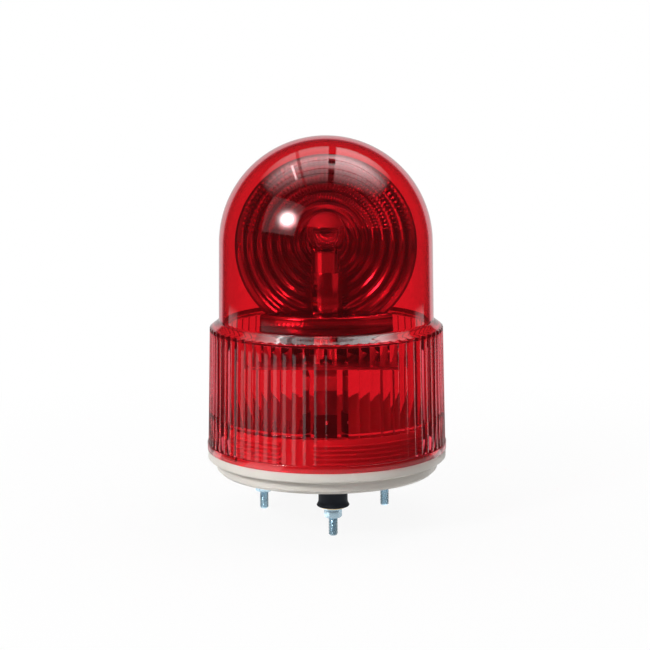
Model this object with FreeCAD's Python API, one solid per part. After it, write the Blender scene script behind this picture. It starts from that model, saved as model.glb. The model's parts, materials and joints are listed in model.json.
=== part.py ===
import FreeCAD, Part
import math
import os

# Rotating beacon on three rubber-bushed studs.  Millimetres, +Z up.
# The origin is on the spin axis, in the panel face that the rubber bushes stand on.
# The base faces -Y, where the first stud is.  A heading is an angle about +Z from +X, in degrees.

V = FreeCAD.Vector
UP = V(0, 0, 1)
CENTRE = V(0, 0, 0)

# ---------------------------------------------------------------- driving dimensions
# Clearances
running_gap = 0.35          # between parts that pass each other
shaft_clearance = 0.05      # radial, in a bearing
slip_clearance = 0.05       # radial, between parts that slide together and stay put
tooth_backlash = 0.16       # along the pitch circle

# Mounting studs and what is on them
stud_count = 3
stud_pcd = 95.0
first_stud_heading = -90.0
stud_radius = 3.0           # over the free thread
stud_shank_radius = 2.675   # the rolled blank, and the thread where the nut is on it
stud_reach = 19.6           # below the mounting face
stud_tip_chamfer = 0.8
stud_head_flats = 10.0
stud_head_height = 4.0
bush_radius = 9.5
bush_height = 13.5
bush_lip_radius = 10.5
bush_lip_height = 2.6
bush_recess = 0.2           # for the washer, inside the rim that meets the panel
washer_radius = 8.0
washer_thickness = 1.2
spring_washer_radius = 5.9
spring_washer_height = 1.5
spring_washer_slot = 1.2
nut_flats = 10.0
nut_height = 5.0

# Base moulding
base_wall = 3.2
base_floor = 3.5
step_inset = 5.7            # lower step, inside the ring
step_height = 8.6
step_corner = 2.0
ring_radius = 78.8          # upper ring, under the globe's flange
ring_height = 6.1
ring_corner = 0.8
shadow_groove = 0.8
collar_inset = 5.5          # inside the ring
collar_height = 20.4        # above the ring
ridge_count = 5
ridge_pitch = 2.9
ridge_depth = 1.2
ridge_foot = 1.5
ridge_crest = 0.7
first_ridge = 4.9           # above the ring
seal_inset = 1.3            # inside the ring
seal_width = 1.8
seal_depth = 1.5
foot_boss_height = 2.0      # under the feet of the bridge
stud_boss_height = 1.5
floor_rib = 2.0
floor_rib_height = 6.0

# Twist lock between base and globe
lug_count = 3
lug_angle = 12.0
lug_height = 2.4
lug_engagement = 0.8
first_lug_heading = -30.0
twist_angle = 40.0
entry_angle = 17.0
stop_angle = 3.0
stop_play = 0.5             # degrees between a lug and its stop

# Globe
globe_wall = 3.0
dome_draft = 0.8            # over the dome's straight side
dome_top = 233.9
shoulder_top = 113.9
shoulder_drop = 3.4
flange_overhang = 0.4       # beyond the base's ring
reed_inset = 0.6            # from the flange's edge to the reeds' crests
skirt_draft = 1.9           # over the height of the reeds
shoulder_width = 6.1        # from the reeds' crests to the foot of the dome
flange_height = 4.9
reed_count = 68
reed_height = 0.55
reed_heading = -2.4         # heading of one reed's crest
globe_seat_gap = 0.1

# Bridge: the sheet steel chassis that stands on the floor of the base
drive_heading = -96.0       # from the spin axis to the motor
sheet = 2.0
bridge_top = 91.5
bridge_half_span = 51.0     # outside of the legs
bridge_front = 53.0
bridge_rear = 40.0
bridge_leg_width = 28.0
bridge_leg_shift = -5.0     # towards the motor
bridge_foot_length = 13.0
bridge_bend = 2.5
bridge_corner = 5.0
bridge_window_inner = 19.0
bridge_window_outer = 33.0
bridge_screw_radius = 2.0
bridge_screw_head = 4.0
bridge_screw_head_height = 2.4

# Socket post, on the spin axis
post_radius = 10.5
post_wall = 0.95
post_top = 145.0
post_tail = 11.5            # below the bridge
post_flange_radius = 15.0
post_flange = 1.5
post_nut_flats = 27.0
post_nut_height = 5.0
post_window_width = 5.0
post_window_heading = -142.5
post_windows = ((119.6, 126.2), (129.4, 137.3))
thrust_washer = 1.0
retainer = 1.0
retainer_radius = 12.9
retainer_groove = 0.5

# Lamp socket
socket_bore = 7.9
socket_radius = 9.5
socket_top = 159.5
socket_seat = 6.0           # how far it sits in the post
socket_lip = 0.5
slot_width = 2.6
slot_heading = -49.5
slot_turn = 22.0
slot_hook = 1.8
insulator = 2.4
contact_radius = 2.0
contact_height = 1.6
spring_radius = 5.6
spring_wire = 0.5
spring_turns = 4
spring_steps = 12
spring_height = 8.0
spring_seat = 2.5

# Lamp: a 25 mm ball on a 15 mm two-pin cap
lamp_ball_radius = 12.5
lamp_ball_z = 171.5
lamp_glass = 0.6
lamp_neck_radius = 6.9
lamp_neck_z = 157.0
lamp_cap_radius = 7.5
lamp_cap_bottom = 137.6
lamp_pin_z = 146.0
lamp_pin_radius = 1.0
lamp_pin_reach = 1.3
lamp_button_radius = 2.4
lamp_stem_radius = 3.2
lamp_stem_height = 8.5
filament_width = 8.0
filament_radius = 0.45
support_radius = 0.3

# Turntable and gears
gear_module = 1.0
gear_teeth = 66
pinion_teeth = 12
pressure_angle = 20.0
gear_addendum = 0.7
gear_dedendum = 1.25
gear_width = 8.0
gear_drop = 1.7             # below the turntable's rim
gear_rim = 3.0
turntable_radius = 44.0
turntable_top = 110.2
turntable_skin = 2.6
turntable_rim = 5.0
turntable_rim_wall = 2.2
turntable_rib = 1.8
turntable_rib_count = 6
hub_wall = 3.4
bush_wall = 1.9
centre_slack = 0.1          # added to the centre distance
pinion_extra = 1.0          # the pinion is wider than the ring gear by this
pinion_shaft_radius = 2.0
pinion_cap = 0.5
pinion_collar_radius = 3.6

# Gear motor, hung under the bridge
motor_radius = 11.4
motor_bottom = 47.0
end_cap_height = 13.0
end_cap_wall = 1.0
end_cap_screw_z = 54.8
end_cap_screw_heading = -55.0
end_cap_screw_radius = 1.9
end_cap_screw_shank = 0.9
end_cap_screw_head = 1.1
end_bearing_radius = 4.0
end_bearing_height = 2.0
gearbox_half_width = 11.2
gearbox_bottom = 75.6
gearbox_top = 84.6
gearbox_corner = 3.0
gearbox_flange = 4.9
motor_screw_pitch = 8.0
motor_screw_radius = 1.25
motor_screw_head = 2.4
motor_tag_width = 2.8
motor_tag_length = 5.0
motor_tag_pitch = 12.0

# Reflector: a ringed bowl on a hollow foot, in one moulding
rest_heading = -94.5        # where the light points at rest
bowl_radius = 59.7
bowl_flange = 1.5
bowl_z = 162.2
bowl_focal = 27.75
bowl_vertex = 29.5          # behind the spin axis
bowl_wall = 1.6
bowl_ring_pitch = 6.35
bowl_ring_bulge = 0.32
foot_top = 118.0
foot_half_width = 43.5
foot_tip = -2.0
foot_front = -23.0
foot_rear = 17.0
foot_wall = 2.0
foot_edge = 2.4
foot_lap = 0.6              # of the bowl into the foot
foot_bore_gap = 0.9
foot_screw_offset = 23.5
foot_screw_radius = 1.5
foot_screw_head = 2.8
foot_boss_radius = 3.6

# Terminal block and cable inlet
terminal_heading = 192.0
terminal_distance = 30.0
terminal_length = 32.0
terminal_depth = 15.0
terminal_height = 14.0
terminal_seat = 30.0        # height of its pillars' tops
terminal_spine = 4.0        # height of the ridge between the two rows of screws
terminal_pocket = 8.0
terminal_entry = 4.0
terminal_entry_depth = 3.0
terminal_entry_rise = 2.0
terminal_ways = 3
terminal_pillar_radius = 3.5
terminal_screw_radius = 2.2
inlet_heading = 90.0
inlet_distance = 34.0
inlet_hole_radius = 6.0
inlet_bore_radius = 3.6
inlet_lip_radius = 8.5
inlet_lip = 1.8

# ---------------------------------------------------------------- derived heights and radii
step_radius = ring_radius - step_inset
collar_radius = ring_radius - collar_inset
seal_radius = ring_radius - seal_inset
flange_radius = ring_radius + flange_overhang
skirt_foot_radius = flange_radius - reed_inset
skirt_top_radius = skirt_foot_radius - skirt_draft
dome_foot_radius = skirt_top_radius - shoulder_width
dome_radius = dome_foot_radius - dome_draft

step_bottom = bush_height
floor_top = step_bottom + base_floor
ring_bottom = step_bottom + step_height
ring_top = ring_bottom + ring_height
collar_top = ring_top + collar_height
first_ridge_z = ring_top + first_ridge
ridge_radius = collar_radius + ridge_depth
collar_inner = collar_radius - base_wall
boss_top = floor_top + stud_boss_height
feet_bottom = floor_top + foot_boss_height
stud_circle = stud_pcd / 2
washer_bottom = bush_recess - washer_thickness
spring_washer_bottom = washer_bottom - spring_washer_height
nut_bottom = spring_washer_bottom - nut_height

globe_bottom = ring_top + globe_seat_gap
dome_z = dome_top - dome_radius
flange_top = ring_top + flange_height
lug_inner = collar_radius + ridge_depth - lug_engagement
lug_top = first_ridge_z - ridge_foot / 2 - running_gap
skirt_inner_foot = ridge_radius + running_gap + 0.35
skirt_inner_top = skirt_top_radius - reed_height - globe_wall

bridge_bottom = bridge_top - sheet
post_bottom = bridge_top - post_tail
thrust_bottom = bridge_top + post_flange
hub_bottom = thrust_bottom + thrust_washer + 0.1
rim_bottom = turntable_top - turntable_rim
gear_top = rim_bottom - gear_drop
gear_bottom = gear_top - gear_width
bush_bore = post_radius + shaft_clearance
hub_bore = bush_bore + bush_wall
hub_radius = hub_bore + hub_wall
retainer_z = turntable_top + running_gap
gear_pitch_radius = gear_module * gear_teeth / 2
pinion_pitch_radius = gear_module * pinion_teeth / 2
gear_tip_radius = gear_pitch_radius + gear_addendum * gear_module
gear_root_radius = gear_pitch_radius - gear_dedendum * gear_module
gear_distance = gear_pitch_radius + pinion_pitch_radius + centre_slack
pinion_bottom = gear_bottom - pinion_extra / 2
pinion_top = gear_top + pinion_extra / 2
pinion_cap_top = pinion_top + pinion_cap

socket_bottom = post_top - socket_seat
insulator_top = lamp_cap_bottom - contact_height
insulator_bottom = insulator_top - insulator
spring_bottom = insulator_bottom - spring_height
seat_bottom = spring_bottom - spring_seat


# ---------------------------------------------------------------- helpers
def polar(radius, heading, z=0.0):
    angle = math.radians(heading)
    return V(radius * math.cos(angle), radius * math.sin(angle), z)


def tube(inner, outer, bottom, top, at=CENTRE):
    foot = V(at.x, at.y, bottom)
    solid = Part.makeCylinder(outer, top - bottom, foot)
    if inner > 0:
        solid = solid.cut(Part.makeCylinder(inner, top - bottom, foot))
    return solid


def turned(*points):
    """A solid of revolution about Z from a closed outline of (radius, height) points."""
    outline = Part.makePolygon([V(r, 0, z) for r, z in points + points[:1]])
    return Part.Face(outline).revolve(CENTRE, UP, 360)


def block(size_x, size_y, bottom, top, at=CENTRE):
    corner = V(at.x - size_x / 2, at.y - size_y / 2, bottom)
    return Part.makeBox(size_x, size_y, top - bottom, corner)


def headed(shape, heading):
    """A copy turned about Z, from facing -Y to facing the heading."""
    return shape.rotated(CENTRE, UP, heading + 90)


def hexagon(flats, bottom, top, at=CENTRE):
    corners = [polar(flats / math.sqrt(3), 60 * i) + V(at.x, at.y, bottom) for i in range(7)]
    return Part.Face(Part.makePolygon(corners)).extrude(V(0, 0, top - bottom))


def nut(flats, bore, bottom, top, at=CENTRE):
    """A hexagon nut with both faces turned down at the corners."""
    corner = flats / math.sqrt(3)
    fall = (corner - flats / 2) * 0.6
    turning = turned(
        (0, bottom), (flats / 2, bottom), (corner, bottom + fall),
        (corner, top - fall), (flats / 2, top), (0, top),
    )
    turning.translate(V(at.x, at.y, 0))
    body = hexagon(flats, bottom, top, at).common(turning)
    return body.cut(Part.makeCylinder(bore, top - bottom, V(at.x, at.y, bottom)))


def pan_screw(shank, head, head_height, seat, depth, at=CENTRE, up=True):
    """A pan head on its seat and a shank that goes the other way."""
    side = 1 if up else -1
    screw = turned(
        (0, -depth), (shank, -depth), (shank, 0), (head, 0),
        (head, head_height * 0.55), (head * 0.7, head_height), (0, head_height),
    )
    cross = block(head * 1.1, head * 0.24, head_height * 0.55, head_height)
    screw = screw.cut(cross).cut(cross.rotated(CENTRE, UP, 90))
    if side < 0:
        screw.rotate(CENTRE, V(1, 0, 0), 180)
    screw.translate(V(at.x, at.y, seat))
    return screw


def sector(inner, outer, bottom, top, heading, angle):
    """A slice of a ring, centred on a heading."""
    corners = [
        polar(inner, heading - angle / 2, bottom), polar(outer, heading - angle / 2, bottom),
        polar(outer, heading + angle / 2, bottom), polar(inner, heading + angle / 2, bottom),
    ]
    edges = [
        Part.LineSegment(corners[0], corners[1]).toShape(),
        Part.Arc(corners[1], polar(outer, heading, bottom), corners[2]).toShape(),
        Part.LineSegment(corners[2], corners[3]).toShape(),
        Part.Arc(corners[3], polar(inner, heading, bottom), corners[0]).toShape(),
    ]
    return Part.Face(Part.Wire(edges)).extrude(V(0, 0, top - bottom))


def fused(first, *others):
    return first.multiFuse(list(others)).removeSplitter()


def group(shapes):
    return Part.makeCompound(shapes)


def stud_headings():
    return [first_stud_heading + 360 / stud_count * i for i in range(stud_count)]


def lug_headings():
    return [first_lug_heading + 360 / lug_count * i for i in range(lug_count)]


# ---------------------------------------------------------------- mounting hardware
def on_studs(shape):
    """Copies of a shape that is modelled on the spin axis, one on each stud."""
    return group([shape.translated(polar(stud_circle, h)) for h in stud_headings()])


def make_studs():
    profile = turned(
        (0, -stud_reach), (stud_radius - stud_tip_chamfer, -stud_reach),
        (stud_radius, stud_tip_chamfer - stud_reach), (stud_radius, nut_bottom - 0.3),
        (stud_shank_radius, nut_bottom), (stud_shank_radius, boss_top), (0, boss_top),
    )
    head = hexagon(stud_head_flats, boss_top, boss_top + stud_head_height)
    return on_studs(fused(profile, head))


def make_bushes():
    bore = stud_shank_radius + slip_clearance
    rim = washer_radius + 0.3
    return on_studs(turned(
        (bore, bush_recess), (rim, bush_recess), (rim, 0), (bush_lip_radius, 0),
        (bush_lip_radius, bush_lip_height * 0.55), (bush_radius, bush_lip_height),
        (bush_radius, bush_height), (bore, bush_height),
    ))


def make_plain_washers():
    return on_studs(tube(stud_radius + slip_clearance, washer_radius, washer_bottom, bush_recess))


def make_spring_washers():
    bore = stud_radius + slip_clearance
    ring = tube(bore, spring_washer_radius, spring_washer_bottom, washer_bottom)
    slot = block(spring_washer_radius, spring_washer_slot, spring_washer_bottom, washer_bottom)
    return on_studs(ring.cut(slot.translated(V(spring_washer_radius / 2, 0, 0))))


def make_nuts():
    bore = stud_shank_radius + slip_clearance
    return on_studs(nut(nut_flats, bore, nut_bottom, spring_washer_bottom))


# ---------------------------------------------------------------- base
def bridge_feet():
    """The four screw places of the bridge, two on each foot."""
    across = bridge_half_span - sheet - bridge_foot_length * 0.55
    along = bridge_leg_width / 4
    places = [V(x * across, bridge_leg_shift + y * along, 0) for x in (-1, 1) for y in (-1, 1)]
    turn = FreeCAD.Rotation(UP, drive_heading + 90)
    return [turn.multVec(p) for p in places]


def terminal_pillars():
    """The two pillars that carry the terminal block."""
    centre = polar(terminal_distance, terminal_heading)
    along = polar(terminal_length / 2 - terminal_pillar_radius, terminal_heading + 90)
    return [centre + along, centre - along]


def make_ridges():
    """Interrupted ridges round the collar, with a gap over each lug's way in and a stop beside it."""
    ridges = []
    for i in range(ridge_count):
        z = first_ridge_z + ridge_pitch * i
        ridges.append(turned(
            (collar_radius - 1, z - ridge_foot / 2), (collar_radius, z - ridge_foot / 2),
            (ridge_radius, z - ridge_crest / 2), (ridge_radius, z + ridge_crest / 2),
            (collar_radius, z + ridge_foot / 2), (collar_radius - 1, z + ridge_foot / 2),
        ))
    ring = group(ridges)
    for heading in lug_headings():
        ring = ring.cut(sector(
            collar_radius, ridge_radius + 2, ring_top, collar_top + 1,
            heading + twist_angle, entry_angle,
        ))
    stops = [
        sector(
            collar_radius - 1, ridge_radius, ring_top - 1, first_ridge_z,
            heading - lug_angle / 2 - stop_play - stop_angle / 2, stop_angle,
        )
        for heading in lug_headings()
    ]
    return [ring] + stops


def make_base():
    outer = turned(
        (0, step_bottom), (step_radius - step_corner, step_bottom),
        (step_radius, step_bottom + step_corner),
        (step_radius, ring_bottom - shadow_groove),
        (step_radius - shadow_groove, ring_bottom - shadow_groove),
        (step_radius - shadow_groove, ring_bottom),
        (ring_radius - ring_corner, ring_bottom), (ring_radius, ring_bottom + ring_corner),
        (ring_radius, ring_top), (collar_radius, ring_top),
        (collar_radius, collar_top), (0, collar_top),
    )
    inner = turned(
        (0, floor_top), (step_radius - base_wall - step_corner, floor_top),
        (step_radius - base_wall, floor_top + step_corner),
        (collar_inner, floor_top + step_corner + 2), (collar_inner, collar_top + 1),
        (0, collar_top + 1),
    )
    body = outer.cut(inner)
    body = body.cut(tube(seal_radius - seal_width, seal_radius, ring_top - seal_depth, ring_top))
    added = make_ridges()
    for heading in stud_headings():
        place = polar(stud_circle, heading)
        added.append(tube(0, bush_radius, step_bottom, boss_top, place))
        rib = Part.makeBox(
            step_radius - base_wall - stud_circle, floor_rib, floor_rib_height + 1,
            V(stud_circle + 3, -floor_rib / 2, floor_top - 1),
        )
        rib_top = floor_top + floor_rib_height
        rib = rib.cut(tube(0, stud_head_flats, floor_top - 1, rib_top + 1, V(stud_circle, 0, 0)))
        added.append(rib.rotated(CENTRE, UP, heading))
    added += [tube(0, bridge_screw_head + 1, step_bottom, feet_bottom, p) for p in bridge_feet()]
    added += [
        tube(0, terminal_pillar_radius, step_bottom, terminal_seat, p) for p in terminal_pillars()
    ]
    body = body.multiFuse(added)
    holes = [
        tube(0, stud_shank_radius + slip_clearance, step_bottom - 1, boss_top + 1, polar(stud_circle, h))
        for h in stud_headings()
    ]
    holes.append(tube(
        0, inlet_hole_radius, step_bottom - 1, floor_top + 1, polar(inlet_distance, inlet_heading)
    ))
    holes += [
        tube(0, bridge_screw_radius, step_bottom + 1, feet_bottom + 1, p) for p in bridge_feet()
    ]
    return body.cut(holes).removeSplitter()


def make_seal():
    return tube(
        seal_radius - seal_width + slip_clearance, seal_radius - slip_clearance,
        ring_top - seal_depth, ring_top,
    )


def make_grommet():
    top = floor_top + inlet_lip
    bottom = step_bottom - inlet_lip
    waist = inlet_hole_radius - slip_clearance
    ring = turned(
        (inlet_bore_radius, bottom), (inlet_lip_radius - 1, bottom), (inlet_lip_radius, step_bottom),
        (waist, step_bottom), (waist, floor_top), (inlet_lip_radius, floor_top),
        (inlet_lip_radius - 1, top), (inlet_bore_radius, top),
    )
    return ring.translated(polar(inlet_distance, inlet_heading))


# ---------------------------------------------------------------- globe
def reeded_wire(crest_radius, z):
    """A closed ring of convex reeds, whose crests lie on the given radius."""
    valley = crest_radius - reed_height
    step = 360 / reed_count
    edges = []
    for i in range(reed_count):
        crest = reed_heading + step * i
        edges.append(Part.Arc(
            polar(valley, crest - step / 2, z), polar(crest_radius, crest, z),
            polar(valley, crest + step / 2, z),
        ).toShape())
    return Part.Wire(edges)


def dome_solid(radius, foot_radius, foot_z):
    """A hemisphere on a slightly tapered side."""
    quarter = math.radians(45)
    edges = [
        Part.LineSegment(V(0, 0, foot_z), V(foot_radius, 0, foot_z)).toShape(),
        Part.LineSegment(V(foot_radius, 0, foot_z), V(radius, 0, dome_z)).toShape(),
        Part.Arc(
            V(radius, 0, dome_z),
            V(radius * math.cos(quarter), 0, dome_z + radius * math.sin(quarter)),
            V(0, 0, dome_z + radius),
        ).toShape(),
        Part.LineSegment(V(0, 0, dome_z + radius), V(0, 0, foot_z)).toShape(),
    ]
    return Part.Face(Part.Wire(edges)).revolve(CENTRE, UP, 360)


def make_globe():
    skirt_height = shoulder_top - flange_top
    slope = shoulder_drop / (skirt_top_radius - dome_foot_radius)
    taper = (skirt_foot_radius - skirt_top_radius) / (shoulder_top - shoulder_drop - flange_top)
    top_crest = skirt_foot_radius - taper * skirt_height
    reeds = Part.makeLoft(
        [reeded_wire(skirt_foot_radius, flange_top), reeded_wire(top_crest, shoulder_top)], True, True
    )
    wide = skirt_foot_radius + 2
    shoulder = turned(
        (0, flange_top), (wide, flange_top), (wide, shoulder_top - slope * (wide - dome_foot_radius)),
        (dome_foot_radius, shoulder_top), (0, shoulder_top),
    )
    skirt = reeds.common(shoulder)
    flange = turned(
        (0, globe_bottom), (flange_radius, globe_bottom), (flange_radius, flange_top - 0.5),
        (flange_radius - 0.5, flange_top), (0, flange_top),
    )
    outer = skirt.multiFuse([dome_solid(dome_radius, dome_foot_radius, shoulder_top), flange])
    dome_cavity = dome_solid(dome_radius - globe_wall, dome_foot_radius - globe_wall, shoulder_top - 4)
    knee = collar_top + 4
    skirt_cavity = turned(
        (0, globe_bottom - 1), (skirt_inner_foot, globe_bottom - 1), (skirt_inner_foot, knee - 2),
        (skirt_inner_foot - 1, knee), (skirt_inner_top, shoulder_top - shoulder_drop - globe_wall),
        (dome_foot_radius - globe_wall, shoulder_top - globe_wall), (0, shoulder_top - globe_wall),
    )
    shell = outer.cut([dome_cavity, skirt_cavity])
    lugs = [
        sector(lug_inner, skirt_inner_foot + 1, lug_top - lug_height, lug_top, h, lug_angle)
        for h in lug_headings()
    ]
    return fused(shell, *lugs)


# ---------------------------------------------------------------- bridge
def make_bridge():
    """A bent steel bridge: a deck over two legs with inward feet."""
    half = bridge_half_span
    bend = bridge_bend
    section = Part.makePolygon([
        V(-half, 0, feet_bottom), V(-half, 0, bridge_top), V(half, 0, bridge_top),
        V(half, 0, feet_bottom), V(half - bridge_foot_length, 0, feet_bottom),
        V(half - bridge_foot_length, 0, feet_bottom + sheet), V(half - sheet, 0, feet_bottom + sheet),
        V(half - sheet, 0, bridge_bottom), V(sheet - half, 0, bridge_bottom),
        V(sheet - half, 0, feet_bottom + sheet), V(bridge_foot_length - half, 0, feet_bottom + sheet),
        V(bridge_foot_length - half, 0, feet_bottom), V(-half, 0, feet_bottom),
    ])
    strip = Part.Face(section).extrude(V(0, bridge_leg_width, 0))
    leg_front = bridge_leg_shift - bridge_leg_width / 2
    leg_rear = bridge_leg_shift + bridge_leg_width / 2
    strip.translate(V(0, leg_front, 0))
    outside = [
        e for e in strip.Edges
        if abs(abs(e.CenterOfMass.x) - half) < 0.01 and e.BoundBox.YLength > bridge_leg_width - 1
    ]
    strip = strip.makeFillet(bend, outside)
    deck_half = half - bend
    deck = Part.makeBox(
        2 * deck_half, bridge_front + bridge_rear, sheet, V(-deck_half, -bridge_front, bridge_bottom)
    )
    deck = deck.makeFillet(bridge_corner, [e for e in deck.Edges if e.BoundBox.ZLength > sheet / 2])
    bridge = strip.fuse(deck)
    motor_at = V(0, -gear_distance, 0)
    holes = [
        tube(0, post_radius + slip_clearance, bridge_bottom, bridge_top),
        tube(0, pinion_collar_radius + running_gap, bridge_bottom, bridge_top, motor_at),
    ]
    holes += [
        tube(0, motor_screw_radius + slip_clearance, bridge_bottom, bridge_top, p)
        for p in motor_screw_places()
    ]
    holes += [
        sector(bridge_window_inner, bridge_window_outer, bridge_bottom, bridge_top, heading, 50)
        for heading in (25, 90, 155)
    ]
    bridge = bridge.cut(holes).removeSplitter()
    bridge = headed(bridge, drive_heading)
    screw_holes = [
        tube(0, bridge_screw_radius + slip_clearance, feet_bottom, feet_bottom + sheet, p)
        for p in bridge_feet()
    ]
    return bridge.cut(screw_holes)


def make_bridge_screws():
    return group([
        pan_screw(
            bridge_screw_radius - slip_clearance, bridge_screw_head, bridge_screw_head_height,
            feet_bottom + sheet, sheet + foot_boss_height + base_floor - 1.5, p,
        )
        for p in bridge_feet()
    ])


# ---------------------------------------------------------------- gear motor
def motor_screw_places():
    return [V(x * motor_screw_pitch, -gear_distance, 0) for x in (-1, 1)]


def make_gearbox():
    """A moulded box whose upper part steps in to a round boss against the bridge."""
    at = V(0, -gear_distance, 0)
    side = 2 * gearbox_half_width
    box = block(side, side, gearbox_bottom, gearbox_top, at)
    upright = [e for e in box.Edges if e.BoundBox.ZLength > gearbox_top - gearbox_bottom - 0.1]
    box = box.makeFillet(gearbox_corner, upright)
    neck = block(side - 1.6, side - 5, gearbox_top, bridge_bottom, at)
    upright = [e for e in neck.Edges if e.BoundBox.ZLength > bridge_bottom - gearbox_top - 0.1]
    box = box.fuse(neck.makeFillet(gearbox_corner, upright))
    seat = tube(0, motor_radius - 2, gearbox_bottom, gearbox_bottom + 2, at)
    bore = tube(0, pinion_shaft_radius + shaft_clearance, gearbox_bottom, bridge_bottom, at)
    pilot = [
        tube(0, motor_screw_radius, bridge_bottom - gearbox_flange - 2, bridge_bottom, p)
        for p in motor_screw_places()
    ]
    return headed(box.cut([seat, bore] + pilot).removeSplitter(), drive_heading)


def make_motor_can():
    at = V(0, -gear_distance, 0)
    can = tube(0, motor_radius, motor_bottom + end_cap_wall, gearbox_bottom, at)
    boss = tube(0, motor_radius - 2 - slip_clearance, gearbox_bottom, gearbox_bottom + 1.8, at)
    waist = (motor_bottom + gearbox_bottom) / 2
    rim = [e for e in can.Edges if e.BoundBox.ZLength < 0.1 and e.CenterOfMass.z < waist]
    return headed(fused(can.makeFillet(0.8, rim), boss), drive_heading)


def on_end_cap(shape):
    """Lays a shape that points along +Z on the side of the end cap, at its screw's place."""
    shape.rotate(CENTRE, V(0, 1, 0), 90)
    shape.translate(V(motor_radius + slip_clearance + end_cap_wall, 0, end_cap_screw_z))
    shape.rotate(CENTRE, UP, end_cap_screw_heading)
    shape.translate(V(0, -gear_distance, 0))
    return shape


def make_end_cap():
    at = V(0, -gear_distance, 0)
    outer = motor_radius + slip_clearance + end_cap_wall
    cap = tube(0, outer, motor_bottom, motor_bottom + end_cap_height, at)
    rim = [e for e in cap.Edges if e.BoundBox.ZLength < 0.1 and e.CenterOfMass.z < motor_bottom + 1]
    cap = cap.makeFillet(0.6, rim)
    cap = cap.cut(tube(
        0, motor_radius + slip_clearance, motor_bottom + end_cap_wall,
        motor_bottom + end_cap_height, at,
    ))
    bearing = tube(0, end_bearing_radius, motor_bottom - end_bearing_height, motor_bottom, at)
    screw_hole = on_end_cap(tube(0, end_cap_screw_shank, -2 * end_cap_wall, end_cap_wall))
    return headed(fused(cap, bearing).cut(screw_hole), drive_heading)


def make_end_cap_screw():
    """A pan screw in the side of the end cap."""
    screw = pan_screw(
        end_cap_screw_shank - slip_clearance, end_cap_screw_radius, end_cap_screw_head, 0.2, end_cap_wall
    )
    return headed(on_end_cap(screw), drive_heading)


def make_motor_tags():
    """Two solder tags on the end of the motor."""
    tags = []
    for side in (-1, 1):
        at = V(side * motor_tag_pitch / 2, -gear_distance, 0)
        tag = block(0.6, motor_tag_width, motor_bottom - motor_tag_length, motor_bottom, at)
        eye = Part.makeCylinder(0.7, 2, V(at.x - 1, at.y, motor_bottom - motor_tag_length + 1.6), V(1, 0, 0))
        tags.append(headed(tag.cut(eye), drive_heading))
    return group(tags)


def make_motor_screws():
    turn = FreeCAD.Rotation(UP, drive_heading + 90)
    return group([
        pan_screw(
            motor_screw_radius - slip_clearance, motor_screw_head, 1.6,
            bridge_top, sheet + gearbox_flange, turn.multVec(p),
        )
        for p in motor_screw_places()
    ])


# ---------------------------------------------------------------- gears and turntable
def gear_solid(teeth, tip_radius, root_radius, bottom, top):
    """A spur gear with involute flanks and a tooth centred on +X."""
    pitch_radius = gear_module * teeth / 2
    base_radius = pitch_radius * math.cos(math.radians(pressure_angle))

    def involute(radius):
        angle = math.acos(base_radius / max(radius, base_radius))
        return math.tan(angle) - angle

    half_tooth = math.pi / (2 * teeth) - tooth_backlash / (2 * pitch_radius)

    def flank(radius):
        return math.degrees(half_tooth + involute(pitch_radius) - involute(radius))

    start = max(root_radius, base_radius)
    radii = [start + (tip_radius - start) * i / 3 for i in range(4)]
    edges = []
    for i in range(teeth):
        middle = 360 / teeth * i
        rise = [polar(r, middle - flank(r), bottom) for r in radii]
        fall = [polar(r, middle + flank(r), bottom) for r in reversed(radii)]
        for points in (rise, fall):
            curve = Part.BSplineCurve()
            curve.interpolate(points)
            edges.append(curve.toShape())
        edges.append(Part.Arc(rise[-1], polar(tip_radius, middle, bottom), fall[0]).toShape())
        root_out = polar(root_radius, middle + flank(start), bottom)
        root_in = polar(root_radius, middle + 360 / teeth - flank(start), bottom)
        if start > root_radius:
            edges.append(Part.LineSegment(fall[-1], root_out).toShape())
            next_rise = polar(start, middle + 360 / teeth - flank(start), bottom)
            edges.append(Part.LineSegment(root_in, next_rise).toShape())
        gap = polar(root_radius, middle + 180 / teeth, bottom)
        edges.append(Part.Arc(root_out, gap, root_in).toShape())
    outline = Part.Wire(Part.__sortEdges__(edges))
    return Part.Face(outline).extrude(V(0, 0, top - bottom))


def make_turntable():
    """A moulded disc with a rim, a toothed ring and a ribbed hub under it."""
    skin_bottom = turntable_top - turntable_skin
    disc = turned(
        (hub_bore, skin_bottom), (turntable_radius - turntable_rim_wall, skin_bottom),
        (turntable_radius - turntable_rim_wall, rim_bottom), (turntable_radius - 0.6, rim_bottom),
        (turntable_radius, rim_bottom + 0.6), (turntable_radius, turntable_top - 1.2),
        (turntable_radius - 1.2, turntable_top), (hub_bore, turntable_top),
    )
    ring = gear_solid(gear_teeth, gear_tip_radius, gear_root_radius, gear_bottom, gear_top)
    ring = ring.rotated(CENTRE, UP, drive_heading)
    ring_inner = gear_root_radius - gear_rim
    ring = ring.cut(tube(0, ring_inner, gear_bottom, gear_top))
    collar = tube(ring_inner, gear_root_radius - 0.3, gear_top, skin_bottom)
    hub = tube(hub_bore, hub_radius, hub_bottom, skin_bottom)
    ribs = []
    for i in range(turntable_rib_count):
        rib = Part.makeBox(
            ring_inner - hub_radius + 1, turntable_rib, skin_bottom - gear_bottom - 1,
            V(hub_radius - 0.5, -turntable_rib / 2, gear_bottom + 1),
        )
        ribs.append(rib.rotated(CENTRE, UP, rest_heading + 360 / turntable_rib_count * i))
    body = fused(disc, ring, collar, hub, *ribs)
    holes = [tube(0, foot_screw_radius + slip_clearance, skin_bottom, turntable_top, p)
             for p in foot_screw_places()]
    return body.cut(holes)


def make_turntable_bush():
    return tube(bush_bore, hub_bore, hub_bottom, turntable_top)


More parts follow.
